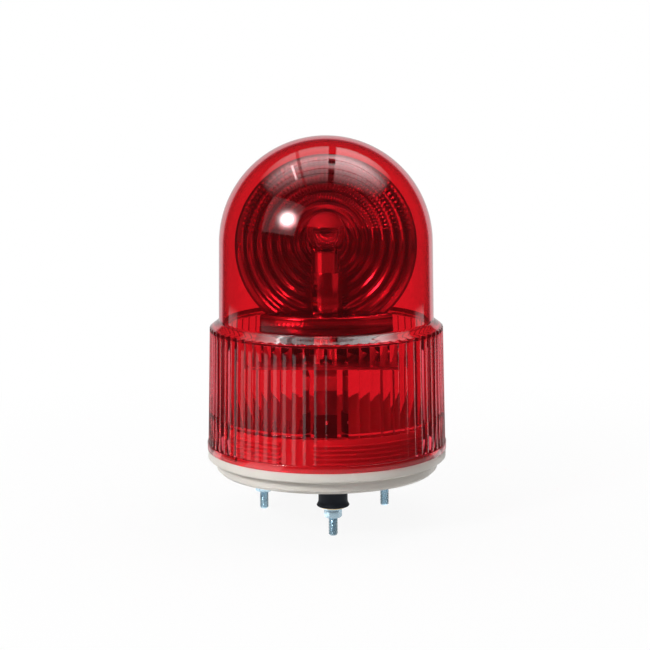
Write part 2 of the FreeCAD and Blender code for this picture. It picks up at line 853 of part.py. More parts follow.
def make_pinion():
    tip = pinion_pitch_radius + gear_module
    root = pinion_pitch_radius - gear_dedendum * gear_module
    gear = gear_solid(pinion_teeth, tip, root, pinion_bottom, pinion_top)
    gear = gear.rotated(CENTRE, UP, 180 - 180 / pinion_teeth)
    collar = tube(0, pinion_collar_radius, bridge_bottom + 0.3, pinion_bottom)
    cap = tube(0, root, pinion_top, pinion_cap_top)
    body = fused(gear, collar, cap)
    body = body.cut(tube(0, pinion_shaft_radius, bridge_bottom, pinion_cap_top))
    body.translate(V(gear_distance, 0, 0))
    return body.rotated(CENTRE, UP, drive_heading)


def make_pinion_shaft():
    shaft = tube(0, pinion_shaft_radius, gearbox_bottom + 2.2, pinion_cap_top)
    rim = [e for e in shaft.Edges if e.BoundBox.ZLength < 0.1 and e.CenterOfMass.z > pinion_top]
    return shaft.makeChamfer(0.4, rim).translated(polar(gear_distance, drive_heading))


# ---------------------------------------------------------------- socket post
def make_post():
    """A tube with a flange on the bridge, a groove for its retaining ring and two pairs of windows."""
    inner = post_radius - post_wall
    body = tube(inner, post_radius, post_bottom, post_top)
    body = body.fuse(tube(post_radius - 0.2, post_flange_radius, bridge_top, bridge_top + post_flange))
    groove = tube(
        post_radius - retainer_groove, post_radius + 1, retainer_z, retainer_z + retainer
    )
    windows = []
    for low, high in post_windows:
        slot = block(3 * post_radius, post_window_width, low, high)
        windows.append(slot.rotated(CENTRE, UP, post_window_heading))
    return body.cut([groove] + windows).removeSplitter()


def make_post_nut():
    return nut(
        post_nut_flats, post_radius + slip_clearance, bridge_bottom - post_nut_height, bridge_bottom
    )


def make_thrust_washer():
    return tube(
        post_radius + slip_clearance, post_flange_radius, thrust_bottom, thrust_bottom + thrust_washer
    )


def make_retainer():
    ring = tube(
        post_radius - retainer_groove + slip_clearance / 2, retainer_radius,
        retainer_z + 0.02, retainer_z + retainer - 0.02,
    )
    gap = block(2 * retainer_radius, 4, retainer_z, retainer_z + retainer)
    gap.translate(V(retainer_radius, 0, 0))
    ears = [
        tube(0.6, 1.6, retainer_z + 0.02, retainer_z + retainer - 0.02, V(retainer_radius - 1.6, y, 0))
        for y in (-3.0, 3.0)
    ]
    return fused(ring.cut(gap), *ears)


# ---------------------------------------------------------------- lamp socket
def make_socket():
    """The bayonet sleeve, with a J slot for each pin of the lamp."""
    sleeve = turned(
        (socket_bore, socket_bottom), (socket_radius, socket_bottom), (socket_radius, socket_top - 1.2),
        (socket_radius + socket_lip, socket_top - 0.8), (socket_radius + socket_lip, socket_top - 0.2),
        (socket_radius, socket_top), (socket_bore, socket_top),
    )
    low = lamp_pin_z - slot_width / 2
    for side in (0, 180):
        way_in = block(
            slot_width, 2 * socket_radius, low, socket_top + 1, V(0, -socket_radius, 0)
        )
        sweep = sector(
            socket_bore - 1, socket_radius + 1, low, low + slot_width,
            slot_turn / 2 - 90, slot_turn,
        )
        hook = sector(
            socket_bore - 1, socket_radius + 1, low, low + slot_width + slot_hook,
            slot_turn - 90, slot_width / socket_radius * 57.3,
        )
        cutter = fused(way_in, sweep, hook)
        sleeve = sleeve.cut(headed(cutter, slot_heading + side))
    return sleeve.removeSplitter()


def make_insulator():
    disc = tube(0, socket_bore - 0.2, insulator_bottom, insulator_top)
    return disc.cut(tube(0, contact_radius, insulator_bottom, insulator_top))


def make_contact():
    pin = tube(0, contact_radius, insulator_bottom - 1.0, lamp_cap_bottom - 0.4)
    tip = [e for e in pin.Edges if e.BoundBox.ZLength < 0.1 and e.CenterOfMass.z > insulator_top]
    return pin.makeFillet(0.5, tip)


def make_spring():
    """A coil of six-sided wire, lofted through sections that climb round the axis."""
    rise = spring_height - 2 * spring_wire
    section = Part.makePolygon([
        V(spring_radius + spring_wire * math.cos(math.radians(60 * i)), 0,
          spring_wire * math.sin(math.radians(60 * i)))
        for i in range(7)
    ])
    steps = spring_turns * spring_steps
    wires = []
    for i in range(steps + 1):
        wire = section.rotated(CENTRE, UP, 360 / spring_steps * i)
        wires.append(wire.translated(V(0, 0, spring_bottom + spring_wire + rise * i / steps)))
    return Part.makeLoft(wires, True, True)


def make_spring_seat():
    return tube(1.2, post_radius - post_wall - slip_clearance, seat_bottom, spring_bottom)


# ---------------------------------------------------------------- lamp
def lamp_profile(ball, neck, bottom):
    """The ball of the lamp and the throat that runs down into its cap."""
    join = math.radians(-50)
    edges = [
        Part.Arc(
            V(0, 0, lamp_ball_z + ball), V(ball, 0, lamp_ball_z),
            V(ball * math.cos(join), 0, lamp_ball_z + ball * math.sin(join)),
        ).toShape(),
        Part.LineSegment(
            V(ball * math.cos(join), 0, lamp_ball_z + ball * math.sin(join)), V(neck, 0, lamp_neck_z)
        ).toShape(),
        Part.LineSegment(V(neck, 0, lamp_neck_z), V(neck, 0, bottom)).toShape(),
        Part.LineSegment(V(neck, 0, bottom), V(0, 0, bottom)).toShape(),
        Part.LineSegment(V(0, 0, bottom), V(0, 0, lamp_ball_z + ball)).toShape(),
    ]
    return Part.Face(Part.Wire(edges)).revolve(CENTRE, UP, 360)


def make_lamp_glass():
    bottom = lamp_neck_z - 3
    outer = lamp_profile(lamp_ball_radius, lamp_neck_radius, bottom)
    inner = lamp_profile(lamp_ball_radius - lamp_glass, lamp_neck_radius - lamp_glass, bottom - 1)
    return outer.cut(inner)


def make_lamp_cap():
    top = lamp_neck_z
    throat = lamp_neck_radius + slip_clearance
    shell = turned(
        (0, lamp_cap_bottom + 1.4), (lamp_cap_radius - 1.4, lamp_cap_bottom + 1.4),
        (lamp_cap_radius, lamp_cap_bottom + 2.8), (lamp_cap_radius, top), (throat, top),
        (throat, lamp_cap_bottom + 4.5), (0, lamp_cap_bottom + 4.5),
    )
    reach = lamp_cap_radius + lamp_pin_reach
    pin = Part.makeCylinder(lamp_pin_radius, reach - throat, V(throat, 0, lamp_pin_z), V(1, 0, 0))
    pins = [pin.rotated(CENTRE, UP, slot_heading + slot_turn + side) for side in (0, 180)]
    return fused(shell, *pins)


def make_lamp_button():
    button = tube(0, lamp_button_radius, lamp_cap_bottom, lamp_cap_bottom + 1.4)
    tip = [e for e in button.Edges if e.CenterOfMass.z < lamp_cap_bottom + 0.1]
    return button.makeFillet(0.7, tip)


def make_lamp_stem():
    bottom = lamp_neck_z - 3
    return turned(
        (0, bottom), (lamp_neck_radius - lamp_glass - 0.2, bottom), (lamp_stem_radius, bottom + 2.5),
        (lamp_stem_radius * 0.8, bottom + lamp_stem_height), (0, bottom + lamp_stem_height + 0.8),
    )


def make_filament():
    """A short coil between two leaning supports."""
    top = lamp_ball_z + 0.5
    foot = lamp_neck_z - 3 + lamp_stem_height - 1
    half = filament_width / 2
    supports = []
    for side in (-1, 1):
        low = V(side * 1.6, 0, foot)
        rise = V(side * half, 0, top) - low
        supports.append(Part.makeCylinder(support_radius, rise.Length, low, rise))
    coil = Part.makeCylinder(filament_radius, 2 * half, V(-half, 0, top), V(1, 0, 0))
    body = fused(coil, *supports)
    stem_tip = make_lamp_stem()
    return headed(body.cut(stem_tip), rest_heading)


# ---------------------------------------------------------------- reflector
def foot_screw_places():
    turn = FreeCAD.Rotation(UP, rest_heading + 90)
    return [turn.multVec(V(x * foot_screw_offset, -3.0, 0)) for x in (-1, 1)]


def bowl_depth(radius):
    """Where the bowl's surface lies along the light's axis, ahead of (-) or behind (+) the spin axis."""
    return bowl_vertex - radius * radius / (4 * bowl_focal)


def ringed_bowl():
    """A paraboloid of bulging rings, turned about the light's axis."""
    lip = bowl_radius - bowl_flange
    count = int(lip / bowl_ring_pitch)
    radii = [0.0] + [lip - bowl_ring_pitch * i for i in range(count, -1, -1)]
    edges = []
    for low, high in zip(radii, radii[1:]):
        start = V(low, bowl_depth(low), 0)
        end = V(high, bowl_depth(high), 0)
        across = (end - start).normalize()
        middle = (start + end) * 0.5 + V(across.y, -across.x, 0) * bowl_ring_bulge
        edges.append(Part.Arc(start, middle, end).toShape())
    rim = bowl_depth(lip)
    back = [V(r, bowl_depth(r) + bowl_wall * math.hypot(1, r / (2 * bowl_focal)), 0)
            for r in (lip, lip * 0.8, lip * 0.6, lip * 0.4, lip * 0.2, 0.0)]
    outer_rim = [V(lip, rim, 0), V(bowl_radius, rim, 0), V(bowl_radius, rim + bowl_wall, 0)]
    edges += [Part.LineSegment(a, b).toShape() for a, b in zip(outer_rim, outer_rim[1:])]
    edges.append(Part.LineSegment(outer_rim[-1], back[0]).toShape())
    curve = Part.BSplineCurve()
    curve.interpolate(back)
    edges.append(curve.toShape())
    edges.append(Part.LineSegment(back[-1], V(0, bowl_depth(0), 0)).toShape())
    bowl = Part.Face(Part.Wire(edges)).revolve(CENTRE, V(0, 1, 0), 360)
    return bowl.translated(V(0, 0, bowl_z))


def foot_wire(inset, z):
    """The boat-shaped outline of the foot: two shallow arcs with blunt ends."""
    tip = foot_half_width - inset * 1.6
    blunt = 2.2
    front = V(0, foot_front + inset, z)
    rear = V(0, foot_rear - inset, z)
    left_front = V(-tip, foot_tip - blunt, z)
    left_rear = V(-tip, foot_tip + blunt, z)
    right_front = V(tip, foot_tip - blunt, z)
    right_rear = V(tip, foot_tip + blunt, z)
    return Part.Wire([
        Part.Arc(left_front, front, right_front).toShape(),
        Part.LineSegment(right_front, right_rear).toShape(),
        Part.Arc(right_rear, rear, left_rear).toShape(),
        Part.LineSegment(left_rear, left_front).toShape(),
    ])


def make_reflector():
    foot_bottom = turntable_top
    foot = Part.Face(foot_wire(0, foot_bottom)).extrude(V(0, 0, foot_top - foot_bottom))
    outline = [e for e in foot.Edges if abs(e.CenterOfMass.z - foot_top) < 0.01]
    foot = foot.makeFillet(foot_edge, outline)
    hollow = Part.Face(foot_wire(foot_wall, foot_bottom)).extrude(V(0, 0, foot_top - foot_bottom - foot_wall))
    ring_room = retainer_radius + running_gap + 0.5
    keep = [tube(0, ring_room + 1.6, foot_bottom, foot_top)]
    turn = FreeCAD.Rotation(UP, -rest_heading - 90)
    keep += [tube(0, foot_boss_radius, foot_bottom, foot_top, turn.multVec(p)) for p in foot_screw_places()]
    foot = foot.cut(hollow.cut(keep))
    bowl = ringed_bowl()
    across = 3 * bowl_radius
    below = block(across, across, 0, foot_top - foot_lap)
    body = foot.fuse(bowl.cut(below))
    cuts = [
        tube(0, post_radius + foot_bore_gap, foot_bottom - 1, foot_top + 1),
        tube(0, ring_room, foot_bottom - 1, foot_top - foot_wall),
    ]
    cuts += [
        tube(0, foot_screw_radius, foot_bottom, foot_top - foot_wall, turn.multVec(p))
        for p in foot_screw_places()
    ]
    return headed(body.cut(cuts).removeSplitter(), rest_heading)


def make_foot_screws():
    seat = turntable_top - turntable_skin
    depth = foot_top - foot_wall - seat - 0.5
    return group([
        pan_screw(foot_screw_radius - slip_clearance, foot_screw_head, 1.8, seat, depth, p, up=False)
        for p in foot_screw_places()
    ])


# ---------------------------------------------------------------- terminal block
def terminal_turn(shape):
    return shape.rotated(CENTRE, UP, terminal_heading)


def make_terminal_block():
    at = V(terminal_distance, 0, 0)
    top = terminal_seat + terminal_height
    body = block(terminal_depth, terminal_length, terminal_seat, top - terminal_spine, at)
    spine = block(terminal_depth * 0.45, terminal_length, top - terminal_spine, top, at)
    body = body.fuse(spine)
    pitch = terminal_length / terminal_ways
    entry_bottom = terminal_seat + terminal_entry_rise
    entry_top = entry_bottom + terminal_entry
    pockets = []
    for i in range(terminal_ways):
        y = (i - (terminal_ways - 1) / 2) * pitch
        for side in (-1, 1):
            x = terminal_distance + side * terminal_depth * 0.36
            pockets.append(tube(0, terminal_screw_radius + 0.3, top - terminal_pocket, top, V(x, y, 0)))
            face = V(terminal_distance + side * terminal_depth / 2, y, 0)
            pockets.append(block(2 * terminal_entry_depth, terminal_entry, entry_bottom, entry_top, face))
    return terminal_turn(body.cut(pockets).removeSplitter())


def make_terminal_screws():
    seat = terminal_seat + terminal_height - terminal_pocket
    pitch = terminal_length / terminal_ways
    screws = []
    for i in range(terminal_ways):
        y = (i - (terminal_ways - 1) / 2) * pitch
        for side in (-1, 1):
            x = terminal_distance + side * terminal_depth * 0.36
            screw = tube(0, terminal_screw_radius, seat, seat + 2.5, V(x, y, 0))
            slot = block(2 * terminal_screw_radius, 0.7, seat + 1.7, seat + 2.5, V(x, y, 0))
            screws.append(terminal_turn(screw.cut(slot)))
    return group(screws)


# ---------------------------------------------------------------- the beacon
NODES = {
    "base": make_base,
    "globe_seal": make_seal,
    "cable_grommet": make_grommet,
    "rubber_bushes": make_bushes,
    "mounting_studs": make_studs,
    "plain_washers": make_plain_washers,
    "spring_washers": make_spring_washers,
    "hex_nuts": make_nuts,
    "chassis_bridge": make_bridge,
    "bridge_screws": make_bridge_screws,
    "gearbox_housing": make_gearbox,
    "motor_can": make_motor_can,
    "motor_end_cap": make_end_cap,
    "end_cap_screw": make_end_cap_screw,
    "motor_tags": make_motor_tags,
    "motor_screws": make_motor_screws,
    "socket_post": make_post,
    "post_nut": make_post_nut,
    "thrust_washer": make_thrust_washer,
    "retaining_ring": make_retainer,
    "lamp_socket": make_socket,
    "socket_insulator": make_insulator,
    "contact_pin": make_contact,
    "contact_spring": make_spring,
    "spring_seat": make_spring_seat,
    "lamp_glass": make_lamp_glass,
    "lamp_cap": make_lamp_cap,
    "lamp_button": make_lamp_button,
    "lamp_stem": make_lamp_stem,
    "lamp_filament": make_filament,
    "terminal_block": make_terminal_block,
    "terminal_screws": make_terminal_screws,
    "turntable": make_turntable,
    "turntable_bush": make_turntable_bush,
    "reflector": make_reflector,
    "reflector_screws": make_foot_screws,
    "drive_pinion": make_pinion,
    "pinion_shaft": make_pinion_shaft,
    "globe": make_globe,
}

os.makedirs("parts", exist_ok=True)
for name, make in NODES.items():
    make().exportStep("parts/" + name + ".step")
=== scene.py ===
import json
import math

import bmesh
import bpy
from mathutils import Euler, Matrix, Vector


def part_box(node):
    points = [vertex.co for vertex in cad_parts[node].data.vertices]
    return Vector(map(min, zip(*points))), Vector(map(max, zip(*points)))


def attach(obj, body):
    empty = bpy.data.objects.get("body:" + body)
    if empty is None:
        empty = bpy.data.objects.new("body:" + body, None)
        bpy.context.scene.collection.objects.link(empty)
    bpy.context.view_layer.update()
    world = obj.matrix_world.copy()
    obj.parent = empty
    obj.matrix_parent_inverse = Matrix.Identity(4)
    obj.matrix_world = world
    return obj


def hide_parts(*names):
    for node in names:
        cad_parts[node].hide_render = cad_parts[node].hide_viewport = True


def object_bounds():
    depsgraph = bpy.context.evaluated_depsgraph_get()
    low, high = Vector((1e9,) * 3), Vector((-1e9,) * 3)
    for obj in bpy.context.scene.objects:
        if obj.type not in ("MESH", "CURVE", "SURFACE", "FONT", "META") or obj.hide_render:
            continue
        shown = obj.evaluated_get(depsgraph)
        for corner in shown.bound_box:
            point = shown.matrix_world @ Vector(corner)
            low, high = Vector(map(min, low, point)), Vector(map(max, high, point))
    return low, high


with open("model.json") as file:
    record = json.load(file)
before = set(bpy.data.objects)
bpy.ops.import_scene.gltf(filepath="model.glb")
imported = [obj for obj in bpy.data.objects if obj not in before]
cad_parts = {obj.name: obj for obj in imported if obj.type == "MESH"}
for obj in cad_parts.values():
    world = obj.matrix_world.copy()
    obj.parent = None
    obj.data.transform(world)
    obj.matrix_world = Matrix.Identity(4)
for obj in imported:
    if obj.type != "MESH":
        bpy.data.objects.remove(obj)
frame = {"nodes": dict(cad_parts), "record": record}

# Dresses the rotating beacon: the see-through globe, the mirror bowl and lamp in it, the base and
# its fasteners.  Metres, +Z up, with the spin axis on Z and the panel face at z = 0.

bl_info = {
    "name": "Rotating beacon",
    "version": (1, 0, 0),
    "blender": (4, 5, 0),
    "location": "View3D > Sidebar > Beacon",
    "description": "Models and finishes a rotating beacon around its construction model",
    "category": "Object",
}

CAD_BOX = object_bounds()
MM = 0.001

# ---------------------------------------------------------------- places taken from the frame
GLOBE_LOW, GLOBE_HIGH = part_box("globe")
STUD_LOW, STUD_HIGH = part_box("mounting_studs")
NUT_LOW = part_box("hex_nuts")[0]
BUSH_LOW, BUSH_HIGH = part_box("rubber_bushes")
LAMP_LOW, LAMP_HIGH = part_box("lamp_glass")

VIEW_HEADING = -4.5          # degrees from +Y to the way the camera looks
STUD_HEADINGS = (-90.0, 30.0, 150.0)
STUD_CIRCLE = 47.5 * MM      # radius of the circle that the studs stand on
POLE = 1e-7                  # radius of the last ring of a dome, before it is drawn together
NEAR = 1e-6                  # how close two places are taken to be the same


# ---------------------------------------------------------------- sizes and colours a user may change
class GlobeSizes(bpy.types.PropertyGroup):
    wall: bpy.props.FloatProperty(
        name="Wall", description="Thickness of the see-through shell", default=3.0 * MM, unit="LENGTH")
    reeds: bpy.props.IntProperty(
        name="Reeds", description="Upright ribs round the skirt", default=68, min=3)
    reed_height: bpy.props.FloatProperty(
        name="Reed height", description="How far a reed's crest stands out", default=0.8 * MM, unit="LENGTH")
    reed_heading: bpy.props.FloatProperty(
        name="Reed heading", description="Heading of one reed's crest in degrees", default=-2.4)
    tint: bpy.props.FloatVectorProperty(
        name="Tint", description="Share of light that one face of the wall lets through",
        default=(0.82, 0.085, 0.12), subtype="COLOR", size=3, min=0, max=1)


class BowlSizes(bpy.types.PropertyGroup):
    rings: bpy.props.IntProperty(
        name="Rings", description="Pillowed rings across the bowl", default=9, min=1)
    ring_bulge: bpy.props.FloatProperty(
        name="Ring bulge", description="Height of a ring's pillow", default=0.42 * MM, unit="LENGTH")
    flutes: bpy.props.IntProperty(
        name="Flutes", description="Small facets per turn in the upper half", default=100, min=8)
    flute_bulge: bpy.props.FloatProperty(
        name="Flute bulge", description="Height of a facet's pillow", default=0.22 * MM, unit="LENGTH")
    wall: bpy.props.FloatProperty(
        name="Wall", description="Thickness of the bowl", default=1.5 * MM, unit="LENGTH")


class FinishColours(bpy.types.PropertyGroup):
    cream: bpy.props.FloatVectorProperty(
        name="Base moulding", description="Colour of the base", default=(0.592, 0.564, 0.514),
        subtype="COLOR", size=3, min=0, max=1)
    zinc: bpy.props.FloatVectorProperty(
        name="Zinc plate", description="Colour of the studs and nuts", default=(0.40, 0.56, 0.66),
        subtype="COLOR", size=3, min=0, max=1)
    rubber: bpy.props.FloatVectorProperty(
        name="Rubber", description="Colour of the bushes and seals", default=(0.012, 0.016, 0.024),
        subtype="COLOR", size=3, min=0, max=1)


# ---------------------------------------------------------------- shader sums
class Value:
    """A socket of a shader node, with Python's arithmetic."""

    def __init__(self, finish, socket):
        self.finish = finish
        self.socket = socket

    def _sum(self, operation, *terms, clamp=False):
        settings = {"operation": operation, "use_clamp": clamp}
        return self.finish.node("ShaderNodeMath", settings, dict(enumerate(terms)))

    def __add__(self, other):
        return self._sum("ADD", self, other)

    def __radd__(self, other):
        return self._sum("ADD", other, self)

    def __sub__(self, other):
        return self._sum("SUBTRACT", self, other)

    def __rsub__(self, other):
        return self._sum("SUBTRACT", other, self)

    def __mul__(self, other):
        return self._sum("MULTIPLY", self, other)

    def __rmul__(self, other):
        return self._sum("MULTIPLY", other, self)

    def __pow__(self, other):
        return self._sum("POWER", self, other)

    def __gt__(self, other):
        return self._sum("GREATER_THAN", self, other)

    def __lt__(self, other):
        return self._sum("LESS_THAN", self, other)

    def size(self):
        return self._sum("ABSOLUTE", self)

    def clamped(self):
        return self._sum("ADD", self, 0.0, clamp=True)


class Finish:
    """Builds the nodes of one material, of a lamp or of the world."""

    def __init__(self, name, tree=None):
        self.material = None
        if tree is None:
            self.material = bpy.data.materials.new(name)
            self.material.use_nodes = True
            tree = self.material.node_tree
        self.tree = tree
        tree.nodes.clear()

    def node(self, kind, settings=None, inputs=None, output=0):
        node = self.tree.nodes.new(kind)
        for key, value in (settings or {}).items():
            setattr(node, key, value)
        for key, value in (inputs or {}).items():
            if isinstance(value, Value):
                self.tree.links.new(value.socket, node.inputs[key])
            else:
                node.inputs[key].default_value = value
        return Value(self, node.outputs[output])

    def place(self):
        return self.node("ShaderNodeTexCoord", output="Object")

    def split(self, vector):
        node = self.node("ShaderNodeSeparateXYZ", inputs={"Vector": vector}).socket.node
        return [Value(self, output) for output in node.outputs]

    def vector(self, operation, *terms, output=0):
        return self.node("ShaderNodeVectorMath", {"operation": operation}, dict(enumerate(terms)), output)

    def length(self, vector):
        return self.vector("LENGTH", vector, output=1)

    def facing(self, vector, way):
        """One where a unit vector points along the way, and less the more it turns from it."""
        return self.vector("DOT_PRODUCT", vector, tuple(way), output=1)

    def ray(self, kind):
        return self.node("ShaderNodeLightPath", output=kind)

    def stretched(self, scale):
        return self.node("ShaderNodeMapping", inputs={"Vector": self.place(), "Scale": scale})

    def noise(self, scale, detail=3.0, roughness=0.55, stretch=None):
        vector = self.stretched(stretch) if stretch else self.place()
        inputs = {"Vector": vector, "Scale": scale, "Detail": detail, "Roughness": roughness}
        return self.node("ShaderNodeTexNoise", inputs=inputs)

    def mix(self, factor, first, second):
        return self.node("ShaderNodeMix", {"data_type": "RGBA"}, {0: factor, 6: first, 7: second}, 2)

    def clouded(self, noise, first, second):
        """One colour drifting into the other where the noise runs from low to high."""
        return self.mix(self.span(noise, 0.3, 0.7), first, second)

    def blend(self, factor, first, second):
        return self.node("ShaderNodeMixShader", inputs={0: factor, 1: first, 2: second})

    def bump(self, height, strength, distance):
        inputs = {"Height": height, "Strength": strength, "Distance": distance}
        return self.node("ShaderNodeBump", inputs=inputs)

    def span(self, value, low, high, start=0.0, end=1.0):
        inputs = {"Value": value, "From Min": low, "From Max": high, "To Min": start, "To Max": end}
        settings = {"clamp": True}
        return self.node("ShaderNodeMapRange", settings, inputs)

    def principled(self, **inputs):
        named = {key.replace("_", " "): value for key, value in inputs.items()}
        return self.node("ShaderNodeBsdfPrincipled", inputs=named)

    def glowing(self, colour, kind="ShaderNodeEmission"):
        return self.node(kind, inputs={"Color": colour, "Strength": 1.0})

    def surface(self, shader, kind="ShaderNodeOutputMaterial"):
        output = self.tree.nodes.new(kind)
        self.tree.links.new(shader.socket, output.inputs["Surface"])
        return self.material


def rgba(colour, share=1.0):
    """The colour, darkened to a share, as a socket takes it."""
    return tuple(c * share for c in colour[:3]) + (1.0,)


def lifted(colour, by):
    """The colour moved towards white by a share."""
    return tuple(c + (1.0 - c) * by for c in colour[:3]) + (1.0,)


# ---------------------------------------------------------------- finishes
def moulded_plastic(name, colour, roughness=0.42, scattering=0.0):
    """Moulded plastic with a fine spark-eroded grain and faint flow clouds."""
    f = Finish(name)
    clouds = f.noise(26.0, 4.0)
    grain = f.noise(1500.0, 2.0)
    mottle = 0.05
    base = f.clouded(clouds, rgba(colour, 1.0 - mottle), lifted(colour, mottle * 0.6))
    rough = roughness + (grain - 0.5) * 0.10 + (clouds - 0.5) * 0.08
    shader = f.principled(
        Base_Color=base, Roughness=rough, Normal=f.bump(grain, 0.35, 0.03 * MM), IOR=1.46,
        Subsurface_Weight=scattering, Subsurface_Radius=(0.004, 0.003, 0.002), Subsurface_Scale=1.0)
    return f.surface(shader)


def plated_metal(name, colour, roughness=0.24, brushed=(1.0, 1.0, 1.0), spots=0.12, tone=0.10):
    """Plated or rolled metal: cloudy crystal tone, fine drawing marks, dull spots."""
    f = Finish(name)
    marks = f.noise(900.0, 3.0, 0.6, brushed)
    clouds = f.noise(140.0, 5.0, 0.6)
    dull = f.span(f.noise(420.0, 2.0), 0.58, 0.72)
    base = f.clouded(clouds, rgba(colour, 1.0 - tone), lifted(colour, tone))
    rough = roughness + (marks - 0.5) * 0.16 + dull * spots
    shader = f.principled(
        Base_Color=base, Metallic=1.0, Roughness=rough, Normal=f.bump(marks, 0.25, 0.03 * MM))
    return f.surface(shader)


def rubber(name, colour):
    """Moulded rubber, matt, with a faint bloom and fine pits."""
    f = Finish(name)
    bloom = f.noise(60.0, 4.0)
    pits = f.noise(2200.0, 2.0)
    base = f.mix(f.span(bloom, 0.35, 0.75), rgba(colour), lifted(colour, 0.008))
    shader = f.principled(
        Base_Color=base, Roughness=0.55 + (bloom - 0.5) * 0.2, Normal=f.bump(pits, 0.3, 0.02 * MM),
        IOR=1.5, Specular_IOR_Level=0.12)
    return f.surface(shader)


def with_film(f, clear, tint):
    """Lamps shine through a clear piece as through tinted film, without being bent."""
    film = f.node("ShaderNodeBsdfTransparent", inputs={"Color": rgba(tint)})
    return f.blend(f.ray("Is Shadow Ray"), clear, film)


def see_through(name, tint, ior=1.49, glow=(0.0, 0.0, 0.0)):
    """Clear moulding with a tint at each face, and a faint painted glow of its own: emission, though the
    piece is no lamp.
    """
    f = Finish(name)
    # Painted glow: the emission colour brightens the moulding a little, though it is no lamp.
    clear = f.principled(
        Base_Color=rgba(tint), Roughness=0.0, IOR=ior, Transmission_Weight=1.0,
        Emission_Color=rgba(glow), Emission_Strength=1.0)
    return f.surface(with_film(f, clear, [c ** 0.5 for c in tint]))


def half_frosted_glass(name, level):
    """Lamp glass that is clear up to a level and frosted white above it."""
    f = Finish(name)
    tint = (0.99, 0.99, 0.99)
    fade, frosted = 0.3 * MM, 0.92
    clear = f.principled(Base_Color=rgba(tint), Roughness=0.0, IOR=1.5, Transmission_Weight=1.0)
    frost = f.principled(
        Base_Color=(0.40, 0.39, 0.38, 1.0), Roughness=0.34 + (f.noise(900.0) - 0.5) * 0.1, IOR=1.5,
        Subsurface_Weight=0.2, Subsurface_Scale=0.003)
    height = f.split(f.place())[2]
    share = f.span(height, level - fade, level + fade, 0.0, frosted)
    return f.surface(f.blend(share, with_film(f, clear, tint), frost))


def mirror_coat(name):
    """Vacuum-metallised plastic: bright, a little wavy, with a few dull breaths."""
    f = Finish(name)
    waves = f.noise(120.0, 3.0)
    breath = f.span(f.noise(45.0, 4.0), 0.45, 0.8)
    base = f.mix(breath, (0.60, 0.60, 0.61, 1.0), (0.48, 0.48, 0.50, 1.0))
    shader = f.principled(
        Base_Color=base, Metallic=1.0, Roughness=0.10 + breath * 0.10,
        Normal=f.bump(waves, 0.3, 0.08 * MM))
    return f.surface(shader)


def bridge_sheet(name):
    """Zinc-plated sheet steel, rolled one way, with a cloudy passivation."""
    f = Finish(name)
    rolling = f.noise(160.0, 3.0, 0.6, (1.0, 14.0, 14.0))
    clouds = f.noise(38.0, 5.0, 0.6)
    base = f.clouded(clouds, (0.50, 0.52, 0.50, 1.0), (0.66, 0.67, 0.64, 1.0))
    rough = 0.34 + (rolling - 0.5) * 0.2 + (clouds - 0.5) * 0.12
    shader = f.principled(
        Base_Color=base, Metallic=0.9, Roughness=rough, Normal=f.bump(rolling, 0.3, 0.04 * MM))
    return f.surface(shader)


FROST_RISE = 6.2 * MM        # from the middle of the lamp's glass to where its frosting starts


def make_finishes():
    """One finish for each slot of the construction, and the few that single pieces have of their own."""
    colours = bpy.context.scene.beacon_colours
    globe = bpy.context.scene.beacon_globe
    frost_level = (LAMP_LOW.z + LAMP_HIGH.z) / 2 + FROST_RISE
    return {
        "base_moulding": moulded_plastic("cream_moulding", colours.cream, 0.40, scattering=0.08),
        # The red moulding's glow is painted light: a faint red emission that brightens the globe, though it
        # is no lamp.
        "globe_red": see_through("red_clear_moulding", globe.tint, glow=(0.012, 0.0003, 0.0006)),
        "rubber_black": rubber("black_rubber", colours.rubber),
        "zinc_plate": plated_metal("blue_zinc_plate", colours.zinc, 0.26),
        "yellow_zinc": plated_metal("yellow_zinc_plate", (0.86, 0.66, 0.36), 0.28),
        "bridge_steel": bridge_sheet("rolled_bridge_sheet"),
        "screw_steel": plated_metal("screw_steel", (0.66, 0.66, 0.64), 0.28),
        "gearbox_nylon": moulded_plastic("pale_nylon", (0.40, 0.38, 0.34), 0.42, scattering=0.15),
        "motor_steel": plated_metal("motor_can_steel", (0.30, 0.30, 0.31), 0.34, (1.0, 1.0, 8.0)),
        "motor_black": moulded_plastic("black_end_cap", (0.018, 0.018, 0.020), 0.38),
        "brass": plated_metal("brass", (0.83, 0.62, 0.28), 0.26),
        "bright_plate": plated_metal(
            "bright_nickel", (0.74, 0.73, 0.71), 0.16, (1.0, 1.0, 6.0), spots=0.06, tone=0.05),
        "reflector_bright": mirror_coat("metallised_mirror"),
        "insulator_brown": moulded_plastic("brown_insulator", (0.16, 0.07, 0.03), 0.5),
        "spring_steel": plated_metal("spring_steel", (0.52, 0.52, 0.53), 0.22),
        "lamp_glass": half_frosted_glass("half_frosted_glass", frost_level),
        "painted_screw": moulded_plastic("painted_screw", (0.80, 0.80, 0.78), 0.30),
        "stem_glass": see_through("smoked_stem_glass", (0.30, 0.28, 0.26), ior=1.5),
        "lamp_brass": plated_metal("nickelled_cap", (0.80, 0.77, 0.70), 0.48, (1.0, 1.0, 5.0)),
        "lamp_solder": plated_metal("solder", (0.60, 0.60, 0.60), 0.40),
        "tungsten": plated_metal("tungsten", (0.34, 0.33, 0.33), 0.45),
        "acetal_black": moulded_plastic("black_acetal", (0.020, 0.020, 0.022), 0.34),
        "acetal_white": moulded_plastic("white_acetal", (0.74, 0.73, 0.70), 0.36, scattering=0.15),
        "bearing_bronze": plated_metal("sintered_bronze", (0.55, 0.36, 0.18), 0.46, spots=0.2),
        "terminal_grey": moulded_plastic("grey_terminal", (0.30, 0.31, 0.32), 0.45),
    }


FINISHES = {}


def finish(slot):
    if not FINISHES:
        FINISHES.update(make_finishes())
    return FINISHES[slot]


